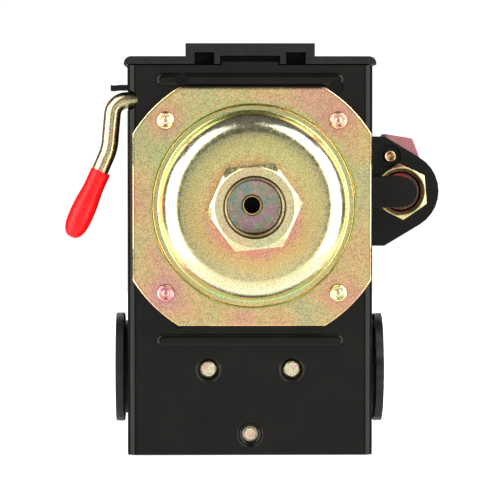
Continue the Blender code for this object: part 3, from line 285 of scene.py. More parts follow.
def turned(name, profile, centre, axis="Y", count=64, ring=False):
    """A turned solid of (radius, height) points. A ring's profile closes on itself."""
    shape = bmesh.new()
    rings = []
    for radius, along in profile:
        if radius == 0:
            rings.append([shape.verts.new(laid(centre, along, axis))] * count)
        else:
            rings.append([shape.verts.new(laid(p, along, axis)) for p in circle(centre, radius, count)])
    return skinned(name, shape, rings, ring)


def rod(name, centre, radius, low, high, axis="Y", count=64):
    return prism(name, circle(centre, radius, count), low, high, axis)


def final_mesh(piece):
    """The mesh that an object's modifiers or curve settings make."""
    bpy.context.view_layer.update()
    return bpy.data.meshes.new_from_object(piece.evaluated_get(bpy.context.evaluated_depsgraph_get()))


def applied(piece):
    mesh = final_mesh(piece)
    piece.modifiers.clear()
    piece.data = mesh
    return piece


def combine(target, tool, operation):
    modifier = target.modifiers.new("Join", "BOOLEAN")
    modifier.operation = operation
    modifier.object = tool
    applied(target)
    bpy.data.objects.remove(tool)
    return target


def cut(target, *tools):
    for tool in tools:
        combine(target, tool, "DIFFERENCE")
    return target


def join(target, *tools):
    for tool in tools:
        combine(target, tool, "UNION")
    return target


def keep_inside(target, tool):
    return combine(target, tool, "INTERSECT")


def softened(piece, width, segments=2):
    """Merges flat faces and rounds the sharp edges, so that they catch the light."""
    shape = bmesh.new()
    shape.from_mesh(piece.data)
    bmesh.ops.remove_doubles(shape, verts=shape.verts, dist=TOUCHING)
    bmesh.ops.dissolve_limit(shape, angle_limit=FLAT_ANGLE, verts=shape.verts, edges=shape.edges)
    shape.to_mesh(piece.data)
    shape.free()
    bevel = piece.modifiers.new("Round edges", "BEVEL")
    bevel.width = width * MM
    bevel.segments = segments
    bevel.limit_method = "ANGLE"
    bevel.angle_limit = EDGE_ANGLE
    return applied(piece)


def flat_faced(piece, smooth):
    """Shades a piece smooth, with its large faces kept flat right up to their rounded edges."""
    piece.data.shade_smooth()
    piece.data.set_sharp_from_angle(angle=math.radians(smooth))
    weighted = piece.modifiers.new("Flat faces", "WEIGHTED_NORMAL")
    weighted.keep_sharp = True
    weighted.weight = 100
    applied(piece)


def tube(name, points, radius, resolution=8):
    """A round wire along points, as a closed mesh."""
    curve = bpy.data.curves.new(name, "CURVE")
    curve.dimensions = "3D"
    curve.bevel_depth = radius * MM
    curve.bevel_resolution = resolution
    curve.use_fill_caps = True
    spline = curve.splines.new("POLY")
    spline.points.add(len(points) - 1)
    for target, point in zip(spline.points, points):
        target.co = (*((Vector(point) + ORIGIN) * MM), 1.0)
    drawn = placed(name + "_path", curve)
    mesh = final_mesh(drawn)
    bpy.data.objects.remove(drawn)
    return placed(name, mesh)


def coil_points(centre, mean_radius, wire_radius, low, high, turns, steps=40):
    """A compression spring's line along Y, with its end turns closed up."""
    points, total = [], round(turns * steps)
    first, last = low + wire_radius, high - wire_radius
    closed = 2.1 * wire_radius
    for i in range(total + 1):
        at = i / total * turns
        if at < 1:
            along = first + closed * at
        elif at > turns - 1:
            along = last - closed * (turns - at)
        else:
            along = first + closed + (last - first - 2 * closed) * (at - 1) / (turns - 2)
        angle = 2 * math.pi * at
        x, z = centre[0] + mean_radius * math.cos(angle), centre[1] + mean_radius * math.sin(angle)
        points.append((x, along, z))
    return points


# ---- materials


def new_node(tree, kind, inputs, **settings):
    """A node with its settings made, and its inputs set to values or linked to other nodes."""
    node = tree.nodes.new("ShaderNode" + kind)
    for name, value in settings.items():
        setattr(node, name, value)
    for socket, value in inputs.items():
        if isinstance(value, bpy.types.NodeSocket):
            tree.links.new(value, node.inputs[socket])
        else:
            node.inputs[socket].default_value = value
    return node


class Finish:
    """A node material whose patterns are laid out in the piece's own metres."""

    def __init__(self, name, colour, roughness, metallic=0.0):
        self.material = bpy.data.materials.new(name)
        self.material.use_nodes = True
        self.tree = self.material.node_tree
        self.shader = self.tree.nodes["Principled BSDF"]
        self.set("Base Color", (*colour, 1.0))
        self.set("Roughness", roughness)
        self.set("Metallic", metallic)
        self.material.diffuse_color = (*colour, 1.0)
        self.place = self.node("TexCoord", {}).outputs["Object"]

    def set(self, socket, value):
        self.shader.inputs[socket].default_value = value

    def plug(self, socket, source):
        self.tree.links.new(source, self.shader.inputs[socket])

    def node(self, kind, inputs, **settings):
        return new_node(self.tree, kind, inputs, **settings)

    def noise(self, scale, detail=3.0, rough=0.55, stretch=None):
        place = self.place
        if stretch:
            place = self.node("Mapping", {"Vector": place, "Scale": stretch}).outputs["Vector"]
        inputs = {"Vector": place, "Scale": scale, "Detail": detail, "Roughness": rough}
        return self.node("TexNoise", inputs).outputs["Fac"]

    def ramp(self, source, stops):
        """Tints, or plain greys, at their places along a pattern."""
        node = self.node("ValToRGB", {"Fac": source})
        elements = node.color_ramp.elements
        while len(elements) < len(stops):
            elements.new(0.5)
        for element, (position, colour) in zip(elements, stops):
            element.position = position
            element.color = (*colour, 1.0) if isinstance(colour, tuple) else (colour, colour, colour, 1.0)
        return node.outputs["Color"]

    def mix(self, share, first, second, blend="MIX"):
        """Blends two colours, each a tint or another node's output."""
        factor, colour_a, colour_b, mixed = 0, 6, 7, 2
        first, second = [(*tint, 1.0) if isinstance(tint, tuple) else tint for tint in (first, second)]
        inputs = {factor: share, colour_a: first, colour_b: second}
        return self.node("Mix", inputs, data_type="RGBA", blend_type=blend).outputs[mixed]

    def wavered(self, source, amount, pattern):
        inputs = {0: pattern, 1: amount, 2: source}
        return self.node("Math", inputs, operation="MULTIPLY_ADD").outputs["Value"]

    def ringed(self, stops, centre, waver=0.1):
        """Tints by the distance in millimetres from an axis along Y, with the rings slightly uneven."""
        axis = (Vector((centre[0], 0, centre[1])) + ORIGIN) * MM
        offset = self.node("VectorMath", {0: self.place, 1: axis}, operation="SUBTRACT").outputs["Vector"]
        across = self.node("VectorMath", {0: offset, 1: (1, 0, 1)}, operation="MULTIPLY").outputs["Vector"]
        distance = self.node("VectorMath", {0: across}, operation="LENGTH").outputs["Value"]
        largest = stops[-1][0]
        share = self.node("MapRange", {"Value": distance, "From Max": largest * MM}).outputs["Result"]
        uneven = self.wavered(share, waver, self.noise(90, 3.0))
        return self.ramp(uneven, [(radius / largest + waver / 2, colour) for radius, colour in stops])

    def height(self, low, high):
        """A share that goes from 0 to 1 between two heights in millimetres, along an uneven line."""
        height = self.node("SeparateXYZ", {0: self.place}).outputs["Z"]
        waver = 0.016
        uneven = self.wavered(height, waver, self.noise(110, 2.0))
        inputs = {"Value": uneven, "From Min": low * MM + waver / 2, "From Max": high * MM + waver / 2}
        return self.node("MapRange", inputs).outputs["Result"]

    def spread(self, source, low, high):
        """A number between low and high, as the pattern goes from 0.3 to 0.7."""
        inputs = {"Value": source, "From Min": 0.3, "From Max": 0.7, "To Min": low, "To Max": high}
        return self.node("MapRange", inputs).outputs["Result"]

    def bump(self, *layers):
        """Bumps of (pattern, strength, height in millimetres), one over the other."""
        normal = None
        for source, strength, height in layers:
            inputs = {"Height": source, "Strength": strength, "Distance": height * MM}
            if normal:
                inputs["Normal"] = normal
            normal = self.node("Bump", inputs).outputs["Normal"]
        self.plug("Normal", normal)


GOLD_TONES = [
    (0.28, (0.5, 0.6, 0.3)), (0.4, (0.7, 0.62, 0.27)), (0.5, (0.78, 0.58, 0.24)),
    (0.6, (0.82, 0.5, 0.26)), (0.72, (0.8, 0.4, 0.32)),
]


def zinc(name, roughness, tones, grain=0.3, drift=75):
    """Yellow passivated zinc: a thin film whose tint drifts between green, gold and pink."""
    finish = Finish(name, (0.75, 0.58, 0.26), roughness, 1.0)
    coated(finish, tinted(finish, tones, drift), roughness, grain)
    return finish.material


def tinted(finish, tones, drift=75):
    patches = [(0.5 + (place - 0.5) * 0.55, tone) for place, tone in tones]
    wide = finish.ramp(finish.noise(drift, 2.5, 0.55), patches)
    mottle = finish.ramp(finish.noise(1100, 3.0, 0.65), tones)
    return finish.mix(0.25, wide, mottle)


def coated(finish, body, roughness, grain):
    """The fine grain and the uneven gloss that every plated part has."""
    speckle = finish.ramp(finish.noise(3200, 2.0, 0.6), [(0.34, 0.66), (0.6, 1.06)])
    finish.plug("Base Color", finish.mix(1.0, body, speckle, "MULTIPLY"))
    finish.plug("Roughness", finish.spread(finish.noise(900, 3.0), roughness - 0.06, roughness + 0.08))
    finish.bump((finish.noise(3600, 3.0, 0.7), grain, 0.05), (finish.noise(260, 2.0), 0.1, 0.12))


def flange_zinc():
    """The pressed plate's film: rings about the dome, greener above, pinker below and round the rivets. The
    rings also hold painted light: a painted highlight on the dome's shoulder and painted shade at the land's
    step.
    """
    finish = Finish("flange_zinc", (0.75, 0.58, 0.26), 0.21, 1.0)
    rim = tinted(finish, GOLD_TONES, 62)
    height = finish.height(DOME_AT[1] - 9, DOME_AT[1] + 9)
    # These rings carry a painted highlight on the shoulder and painted shade at the land's step.
    rings = finish.mix(height, finish.ringed(LOWER_RINGS_WITH_PAINTED_LIGHT, DOME_AT), finish.ringed(UPPER_RINGS_WITH_PAINTED_LIGHT, DOME_AT))
    on_dome = finish.ringed([(22.0, 0.84), (23.9, 0.75), (25.5, 0.25)], DOME_AT, 0.0)
    body = finish.mix(on_dome, rim, rings)
    for node in FLANGE_RIVETS:
        halo = finish.ringed([(2.2, 0.75), (3.2, 0.45), (6.5, 0.0)], on_y(node), 0.25)
        body = finish.mix(halo, body, (0.74, 0.36, 0.36) if node == FLANGE_RIVETS[2] else (0.82, 0.4, 0.26))
    coated(finish, body, 0.2, 0.42)
    return finish.material


def bore_zinc():
    """The port's inside: painted shade at the mouth, a painted highlight on the first ridge with painted
    shade inside it, and stained on its floor.
    """
    finish = Finish("bore_zinc", (0.4, 0.32, 0.22), 0.3, 1.0)
    stains = tinted(finish, BORE_TONES, 330)
    # The rings on the bore's wall are painted light: dark is painted shade at the mouth, bright is a painted
    # highlight on the first ridge, and shade is painted shade inside that ridge.
    dark, bright, shade = (0.1, 0.075, 0.045), (0.8, 0.68, 0.4), (0.16, 0.12, 0.08)
    stops = [(6.15, shade), (6.3, shade), (6.38, bright), (6.7, bright), (6.8, dark), (7.6, dark)]
    rings = finish.ringed(stops, DOME_AT, 0.02)
    painted_light_on_wall = finish.ringed([(5.95, 0.0), (6.1, 1.0), (7.6, 1.0)], DOME_AT, 0.02)
    body = finish.mix(painted_light_on_wall, stains, rings)
    lip = finish.ringed([(2.0, 1.0), (2.45, 1.0), (2.6, 0.0)], HOLE_AT, 0.03)
    coated(finish, finish.mix(lip, body, (0.72, 0.52, 0.22)), 0.3, 0.4)
    return finish.material


def surface(name, colour, roughness, metallic, specular, tint, gloss, bumps):
    """A finish whose tint, gloss and height each follow a noise of their own."""
    finish = Finish(name, colour, roughness, metallic)
    finish.set("Specular IOR Level", specular)
    pattern, *shades = tint
    finish.plug("Base Color", finish.ramp(finish.noise(*pattern), shades))
    pattern, low, high = gloss
    finish.plug("Roughness", finish.spread(finish.noise(*pattern), low, high))
    finish.bump(*[(finish.noise(*pattern), strength, height) for pattern, strength, height in bumps])
    return finish


def black_paint():
    tint = ((160, 4.0), (0.3, (0.0026, 0.0024, 0.0019)), (0.7, (0.0042, 0.004, 0.0032)))
    gloss = ((420, 4.0), 0.11, 0.18)
    bumps = [((900, 2.0), 0.06, 0.05), ((120, 2.0), 0.05, 0.2)]
    return surface("black_paint", (0.0034, 0.0032, 0.0026), 0.15, 0, 0.15, tint, gloss, bumps).material


def black_plastic():
    tint = ((500, 5.0, 0.7), (0.3, (0.005, 0.005, 0.0047)), (0.7, (0.009, 0.009, 0.0084)))
    gloss = ((700, 4.0), 0.38, 0.52)
    bumps = [((3000, 2.0, 0.5), 0.3, 0.06), ((140, 2.0), 0.05, 0.2)]
    return surface("black_plastic", (0.007, 0.007, 0.0066), 0.46, 0, 0.2, tint, gloss, bumps).material


def red_vinyl():
    tint = ((220, 3.0), (0.3, (0.62, 0.003, 0.004)), (0.7, (0.7, 0.005, 0.006)))
    gloss = ((600, 3.0), 0.28, 0.4)
    bumps = [((800, 2.0), 0.1, 0.06), ((180, 2.0), 0.12, 0.25)]
    finish = surface("red_vinyl", (0.66, 0.004, 0.005), 0.34, 0, 0.22, tint, gloss, bumps)
    finish.set("Subsurface Weight", 0.08)
    finish.set("Subsurface Radius", (0.004, 0.001, 0.001))
    finish.set("Subsurface Scale", 0.4)
    return finish.material


def rubber(name, colour, roughness):
    tint = ((400, 5.0, 0.7), (0.3, tuple(value * 0.7 for value in colour)), (0.7, colour))
    gloss = ((500, 4.0), roughness - 0.08, roughness + 0.1)
    bumps = [((1800, 3.0), 0.25, 0.08), ((240, 3.0), 0.18, 0.25)]
    return surface(name, colour, roughness, 0, 0.28, tint, gloss, bumps).material


def bright_metal(name, colour, roughness):
    tint = ((500, 4.0), (0.3, tuple(value * 0.82 for value in colour)), (0.7, colour))
    gloss = ((1200, 3.0), roughness - 0.06, roughness + 0.1)
    return surface(name, colour, roughness, 1, 0.5, tint, gloss, [((1600, 3.0), 0.12, 0.03)]).material


def phenolic():
    shades = (0.32, (0.03, 0.016, 0.011)), (0.5, (0.055, 0.03, 0.02)), (0.7, (0.095, 0.055, 0.036))
    tint, gloss = ((900, 6.0, 0.75), *shades), ((600, 3.0), 0.34, 0.5)
    bumps = [((1500, 3.0), 0.12, 0.06)]
    return surface("phenolic", (0.055, 0.03, 0.02), 0.42, 0, 0.5, tint, gloss, bumps).material


def green_passivate():
    finish = Finish("green_screw", (0.03, 0.26, 0.09), 0.32, 0.6)
    shades = [(0.3, (0.02, 0.18, 0.06)), (0.7, (0.05, 0.32, 0.12))]
    finish.plug("Base Color", finish.ramp(finish.noise(700, 4.0), shades))
    finish.bump((finish.noise(1500, 3.0), 0.12, 0.04))
    return finish.material


def label_foil():
    """Brushed foil, with its brushing along X."""
    brushed = (900, 3.0, 0.6, (0.04, 1.0, 1.0))
    tint, gloss = (brushed, (0.3, (0.56, 0.56, 0.55)), (0.7, (0.76, 0.76, 0.74))), (brushed, 0.28, 0.46)
    bumps = [(brushed, 0.15, 0.03)]
    return surface("label_foil", (0.7, 0.7, 0.68), 0.36, 0.7, 0.5, tint, gloss, bumps).material


PINK_TONES = [
    (0.3, (0.66, 0.5, 0.28)), (0.46, (0.76, 0.46, 0.32)),
    (0.58, (0.78, 0.36, 0.34)), (0.72, (0.66, 0.26, 0.32)),
]
# Dark tones for threads and rings deep in a bore: painted shade over the zinc's drifting tint.
SHADED_THREAD_TONES = [
    (0.3, (0.1, 0.09, 0.04)), (0.46, (0.2, 0.16, 0.07)),
    (0.58, (0.28, 0.21, 0.1)), (0.7, (0.34, 0.24, 0.13)),
]
STUD_TONES = [
    (0.3, (0.7, 0.66, 0.36)), (0.46, (0.9, 0.84, 0.56)),
    (0.58, (0.92, 0.76, 0.56)), (0.7, (0.84, 0.54, 0.44)),
]
ROSE_TONES = [
    (0.3, (0.62, 0.34, 0.28)), (0.46, (0.62, 0.26, 0.28)),
    (0.58, (0.6, 0.22, 0.27)), (0.72, (0.54, 0.32, 0.26)),
]
PALE_TONES = [
    (0.3, (0.7, 0.68, 0.38)), (0.46, (0.78, 0.69, 0.37)),
    (0.6, (0.82, 0.66, 0.36)), (0.72, (0.8, 0.58, 0.38)),
]
OLIVE_TONES = [
    (0.3, (0.52, 0.5, 0.28)), (0.46, (0.66, 0.52, 0.28)),
    (0.58, (0.76, 0.48, 0.32)), (0.72, (0.74, 0.38, 0.3)),
]
BORE_TONES = [
    (0.32, (0.26, 0.42, 0.4)), (0.44, (0.42, 0.44, 0.26)),
    (0.54, (0.56, 0.42, 0.36)), (0.66, (0.58, 0.34, 0.42)),
]
# Tints of the film at radii from the dome's middle, for its upper and lower sides. Besides the film's own
# tones they hold painted light: the near-white ring at 20.5 mm is a painted highlight on the shoulder, the
# darker upper ring at 17 mm is painted shade at the shoulder's inner edge, and the dark green line at 23.5 mm
# is painted shade in the land's step.
UPPER_RINGS_WITH_PAINTED_LIGHT = [
    (8.0, (0.8, 0.5, 0.24)), (10.6, (0.82, 0.58, 0.24)), (12.6, (0.82, 0.8, 0.32)),
    (15.5, (0.84, 0.78, 0.32)), (17.0, (0.66, 0.64, 0.34)), (20.5, (0.88, 0.86, 0.66)),
    (21.6, (0.56, 0.66, 0.3)), (22.5, (0.66, 0.72, 0.3)), (22.8, (0.82, 0.64, 0.24)),
    (23.3, (0.8, 0.62, 0.24)), (23.5, (0.22, 0.34, 0.08)), (23.7, (0.44, 0.56, 0.2)),
    (24.4, (0.68, 0.6, 0.28)), (32.0, (0.78, 0.52, 0.28)),
]
LOWER_RINGS_WITH_PAINTED_LIGHT = [
    (8.0, (0.86, 0.34, 0.26)), (11.2, (0.86, 0.36, 0.26)), (12.6, (0.86, 0.52, 0.22)),
    (14.5, (0.86, 0.62, 0.26)), (17.0, (0.78, 0.68, 0.34)), (20.5, (0.86, 0.86, 0.6)),
    (21.6, (0.56, 0.68, 0.32)), (22.5, (0.62, 0.7, 0.3)), (22.8, (0.82, 0.6, 0.24)),
    (23.3, (0.82, 0.58, 0.24)), (23.5, (0.22, 0.34, 0.08)), (23.7, (0.46, 0.54, 0.2)),
    (24.4, (0.78, 0.52, 0.28)), (32.0, (0.8, 0.46, 0.3)),
]

FINISHES = {
    "zinc": zinc("yellow_zinc", 0.22, GOLD_TONES),
    "flange_zinc": flange_zinc(),
    "pink_zinc": zinc("pink_zinc", 0.28, PINK_TONES),
    "rose_zinc": zinc("rose_zinc", 0.3, ROSE_TONES, 0.3, 160),
    "pale_zinc": zinc("pale_zinc", 0.22, PALE_TONES),
    "olive_zinc": zinc("olive_zinc", 0.26, OLIVE_TONES),
    "bore_zinc": bore_zinc(),
    "painted_shade_thread": zinc("painted_shade_thread", 0.48, SHADED_THREAD_TONES, 0.4, 300),
    "stud_zinc": zinc("stud_zinc", 0.26, STUD_TONES, 0.45, 420),
    "nut_zinc": zinc("nut_zinc", 0.2, GOLD_TONES, 0.25, 140),
    "paint": black_paint(),
    "plastic": black_plastic(),
    "vinyl": red_vinyl(),
    "rubber": rubber("black_rubber", (0.0075, 0.0075, 0.007), 0.55),
    "seal": rubber("red_rubber", (0.34, 0.012, 0.008), 0.45),
    "steel": bright_metal("bright_steel", (0.6, 0.6, 0.61), 0.25),
    "brass": bright_metal("brass", (0.74, 0.52, 0.22), 0.27),
    "phenolic": phenolic(),
    "green": green_passivate(),
    "label": label_foil(),
}
BODY_OF = {node: body for body, nodes in frame["record"]["behaviour"]["bodies"].items() for node in nodes}


def show(piece, finish, node, replace=True, smooth=35):
    """Gives a piece its finish and its node's body, and may put it in the node's place."""
    piece.data.materials.clear()
    piece.data.materials.append(FINISHES[finish])
    flat_faced(piece, smooth)
    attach(piece, BODY_OF[node])
    if replace:
        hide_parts(node)
    return piece


def refined(node, finish, width=0.25):
    """A copy of a node's own shape with its edges rounded."""
    made = placed(node + "_fine", frame["nodes"][node].data.copy())
    show(softened(made, width), finish, node)


# ---- base


def channel_outline():
    inner_radius, fold = BEND_RADIUS - SHEET, HALF_WIDTH - BEND_RADIUS
    outer = [(-HALF_WIDTH, WALL_DEPTH)]
    outer += arc((-fold, BEND_RADIUS), BEND_RADIUS, 180, 270, 12)
    outer += arc((fold, BEND_RADIUS), BEND_RADIUS, 270, 360, 12)
    outer += [(HALF_WIDTH, WALL_DEPTH), (INNER_WALL, WALL_DEPTH)]
    inner = arc((fold, BEND_RADIUS), inner_radius, 0, -90, 6)
    inner += arc((-fold, BEND_RADIUS), inner_radius, -90, -180, 6)
    return outer + inner + [(-INNER_WALL, WALL_DEPTH)]


def bead(z):
    """A pressed bead with a smooth round crest."""
    sections = [(SHEET / 2, stadium((0, z), BEAD_HALF_LENGTH, BEAD_HALF_WIDTH))]
    for i in range(9):
        lean = math.radians(90 * i / 8)
        inset = BEAD_HALF_WIDTH * 0.78 * (1 - math.cos(lean))
        outline = stadium((0, z), BEAD_HALF_LENGTH - inset, BEAD_HALF_WIDTH - inset)
        sections.append((-(BEAD_HEIGHT - 0.02) * math.sin(lean), outline))
    return loft("bead", sections)


def dimple(centre, mouth, radius):
    """A pressed ring round a stud, as a cutter with a rounded lip."""
    profile = [(0, -2), (mouth + 0.5, -2), (mouth + 0.5, -0.1), (mouth, 0.12), (mouth - 0.25, 0.7)]
    profile += [(radius, 1.0), (radius, 6), (0, 6)]
    return turned("dimple", rounded(profile, 0.25), centre, count=56)


def lever_guard():
    """The small bent tab that stands out above the lever."""
    low, thickness, tip = LEVER_AT[1] + 2.2, 1.4, BASE_LOW.x - ORIGIN.x
    bend, neck, root = -HALF_WIDTH - 3.2, -HALF_WIDTH - 1.6, -HALF_WIDTH + 0.7
    outline = [(tip, low), (bend, low - 0.05), (neck, low + 0.12), (root, low), (root, low + thickness)]
    outline += [(neck, low + thickness), (bend, low + 1.25), (tip, low + 1.38)]
    return prism("guard", outline, 2.6, 9.0)


def base_frame():
    base = prism("base_channel", channel_outline(), 0, LENGTH, "Z")
    join(base, *[bead(z) for z in BEAD_Z])
    join(base, block("tab", (-6.5, 0.3, LENGTH - 1), (6.5, SHEET, LENGTH + 0.8)), lever_guard())
    studs = [on_y(f"block_screw_{number}") for number in (1, 2)]
    join(base, *[rod("collar", at, 3.4, SHEET / 2, 3.1, count=48) for at in studs])
    cut(base, *[dimple(at, 2.75, 2.2) for at in studs], dimple(POST_AT, 2.8, 1.75))
    for x, z, radius in PRESSED_HOLES:
        cut(base, rod("hole", (x, z), radius, -2, SHEET - 0.3, count=40))
    cut(base, rod("opening", PORT_AT, 10.3, -2, 3))
    for node in FLANGE_RIVETS:
        cut(base, rod("rivet_hole", on_y(node), 2.3, -3, 4, count=32))
    clearance = ROD_RADIUS + 0.45
    cut(base, rod("lever_hole", LEVER_AT, clearance, *LEFT_WALL, "X", 48))
    cut(base, rod("lever_notch", (-HALF_WIDTH, LEVER_AT[1]), clearance, -2, LEVER_AT[0], count=48))
    half_window = 4.9
    low = (RIGHT_WALL[0], ACTUATOR_FACE - 2, STEM_AT[1] - half_window)
    cut(base, block("window", low, (RIGHT_WALL[1], ACTUATOR_BACK + 3, STEM_AT[1] + half_window)))
    for wall in (LEFT_WALL, RIGHT_WALL):
        cut(base, rod("cable_hole", ENTRY_AT, 11.3, *wall, "X", 72))
    for number in (1, 2):
        cut(base, rod("rivet_hole", on_x(f"bracket_rivet_{number}"), 1.7, *RIGHT_WALL, "X", 32))
    cut(base, rod("ground_hole", on_x("ground_screw"), 2.0, *LEFT_WALL, "X", 32))
    show(softened(base, 0.18), "paint", "base_frame", smooth=30)


# ---- cover


def rounded_box(name, low, high, radius, count=6):
    """A box whose edges along Y and round its back are rounded."""
    shape = bmesh.new()
    bmesh.ops.create_cube(shape, size=1)
    low, high = Vector(low), Vector(high)
    for vert in shape.verts:
        vert.co = Vector((low[i] + (vert.co[i] + 0.5) * (high[i] - low[i]) for i in range(3)))
    edges = [edge for edge in shape.edges if any(abs(vert.co.y - high.y) < 1e-6 for vert in edge.verts)]
    bmesh.ops.bevel(shape, geom=edges, offset=radius, segments=count, profile=0.5, affect="EDGES")
    return from_shape(name, shape)


COVER_TOP, COVER_WALL, COVER_FLOOR, GAP = 92.7, 2, 1.7, 0.3
UNDER_TOP = LENGTH + GAP


def cover_lip():
    """The top end's outline, which overhangs the base on both sides."""
    half, corner = 29.3, 1.7
    lip = arc((half - corner, COVER_TOP - corner), corner, -10, 90, 8)
    lip += arc((-half + corner, COVER_TOP - corner), corner, 90, 190, 8)
    return lip + [(-half + 0.35, UNDER_TOP), (half - 0.35, UNDER_TOP)]


def cover():
    split, inside = WALL_DEPTH + GAP, INNER_WALL - GAP
    shell = rounded_box("cover_shell", (-HALF_WIDTH, split, 0), (HALF_WIDTH, COVER_BACK, COVER_TOP), 3.0)
    join(shell, prism("top_end", cover_lip(), 0, split + 1))
    join(shell, block("bottom_end", (-inside, SHEET + GAP, 0), (inside, split + 1, COVER_FLOOR)))
    low = (-HALF_WIDTH + COVER_WALL, SHEET + GAP, COVER_FLOOR)
    high = (HALF_WIDTH - COVER_WALL, COVER_BACK - COVER_WALL, UNDER_TOP)
    cut(shell, rounded_box("hollow", low, high, 1.6, 4))
    cover_boss(shell)
    for side in (-1, 1):
        low, high = sorted((side * (inside - 1.0), side * inside))
        join(shell, block("skirt", (low, 27, 42), (high, split + 2, 86)))
    for z in (24, 44, 64, 84):
        low = (-HALF_WIDTH + 1.5, COVER_BACK - 4.2, z - 0.5)
        join(shell, block("rib", low, (HALF_WIDTH - 1.5, COVER_BACK - 1.5, z + 0.5)))
    cover_well(shell)
    cut(shell, block("label_recess", (-19, COVER_BACK - 0.6, 28), (19, COVER_BACK + 1, 78)))
    show(softened(shell, 0.3, 3), "plastic", "cover", smooth=30)
    low, high = here("rating_label")
    show(prism("label_plate", round_cornered(low, high, 1.5), low.y, high.y - 0.05), "label", "rating_label")


def cover_boss(shell):
    """The raised boss, with its two windows and the notch for the base's tab."""
    foot = UNDER_TOP + 0.6
    boss = [(0, foot), (12, foot), (12, COVER_TOP - 0.3), (9, BOSS_TOP), (0, BOSS_TOP)]
    join(shell, prism("boss", boss, -15, 15, "X"))
    for x in (-10.6, 10.6):
        cut(shell, block("window", (x - 2.3, -1, LENGTH), (x + 2.3, 8, 93.6)))
    cut(shell, block("notch", (-7, -1, LENGTH), (7, 6, COVER_TOP + 0.1)))


def cover_well(shell):
    """The hollow post that the cover's screw goes down."""
    join(shell, rod("well", POST_AT, 4.6, WELL_FLOOR, COVER_BACK - 1, count=56))
    seat, back = WELL_FLOOR + 4, COVER_BACK
    bore = [(0, seat), (3.5, seat), (3.5, back - 0.6), (4.2, back + 0.1), (4.2, back + 1), (0, back + 1)]
    cut(shell, turned("well_bore", bore, POST_AT, count=56))
    cut(shell, rod("well_hole", POST_AT, 1.9, WELL_FLOOR - 1, seat + 1, count=40))


# ---- pressure side

FLANGE_HALF, FLANGE_CORNER_RADIUS = 27.7, 32.5


def flange_angles():
    reach = math.degrees(math.acos(FLANGE_HALF / FLANGE_CORNER_RADIUS))
    corners = [90 * quarter + side * reach for quarter in range(4) for side in (-1, 1)]
    even = [2.0 * i for i in range(180)]
    even = [angle for angle in even if all(abs((angle - c + 180) % 360 - 180) > 0.9 for c in corners)]
    return sorted(angle % 360 for angle in even + corners)


FLANGE_ANGLES = flange_angles()


def flange_rim(inset):
    rim = []
    for angle in FLANGE_ANGLES:
        from_axis = math.radians(abs((angle + 45) % 90 - 45))
        radius = min(FLANGE_CORNER_RADIUS, FLANGE_HALF / math.cos(from_axis)) - inset
        rim.append(arc(PORT_AT, radius, angle, angle, 1)[0])
    return rim


def flange_ring(radius):
    return [arc(DOME_AT, radius, angle, angle, 1)[0] for angle in FLANGE_ANGLES]


def dome_profile(land):
    """The dome's front, from its foot on the land over the round shoulder to the coned top's middle."""
    front = arc((22.25, land - 0.4), 0.4, 90, 172, 5) + arc((16.4, -4.404), 5.27, -7, -84.5, 20)
    steps, radius, width, foot = 8, 16.9, 8.9, -9.65
    for i in range(1, steps + 1):
        share = i / steps
        lean = math.radians(5.5 * (1 - share / 2))
        front.append((radius - width * share, foot - width * share * math.tan(lean) * 0.8))
    return front


def pressure_flange():
    """A pressed plate: rim, raised land, and a dome with a round shoulder and a slightly coned top."""
    face, land, head, top, behind = -1.8, -2.9, -6.5, -10.0, -0.3
    groove = [(24.4, face), (23.62, face), (23.5, face + 0.25), (23.34, face + 0.05), (23.28, land + 0.04)]
    groove += [(22.25, land)]
    back = [(8.0, top + SHEET)] + arc((16.9, head), 2.0, -90, 0, 6)
    back += [(20.4, land + SHEET), (22.9, land + SHEET), (22.9, behind)]
    edge = [(behind, 0.12), (-0.42, 0), (face + 0.38, 0), (face + 0.19, 0.05), (face + 0.06, 0.17)]
    edge += [(face, 0.38), (face, 0.8)]
    sections = [(along, flange_rim(inset)) for along, inset in edge]
    line = rounded([(25.0, face)] + groove, 0.12, 3)[1:] + dome_profile(land)
    sections += [(along, flange_ring(radius)) for radius, along in line + back]
    flange = loft("flange_plate", sections, ring=True)
    for node in FLANGE_RIVETS:
        cut(flange, rod("rivet_hole", on_y(node), 2.12, -4, 2, count=40))
    show(flange, "flange_zinc", "pressure_flange", smooth=32)


PORT_FLATS, PORT_TURN, PORT_SEAT = 19.0, 5.8, -10.3


def port_fitting():
    """The hexagon, with a thin ring of edge round its face and slightly sloping corners."""
    corner, face, edge = PORT_FLATS / math.sqrt(3), PORT_FLATS / 2 - 0.2, PORT_FACE + 0.14
    slope = edge + (corner - face) * math.tan(math.radians(14))
    fitting = prism("port_hexagon", hexagon(DOME_AT, PORT_FLATS, PORT_TURN), PORT_FACE, PORT_SEAT)
    chamfer = [(0, PORT_FACE), (face - 0.2, PORT_FACE), (face, edge), (corner, slope), (corner + 1, slope)]
    chamfer += [(corner + 1, PORT_SEAT + 1), (0, PORT_SEAT + 1)]
    keep_inside(fitting, turned("chamfer", chamfer, DOME_AT, count=120))
    cut(fitting, rod("bore", DOME_AT, 7.2, PORT_FACE - 1, PORT_SEAT + 1, count=96))
    show(softened(fitting, 0.14, 3), "pale_zinc", "port_fitting", smooth=30)


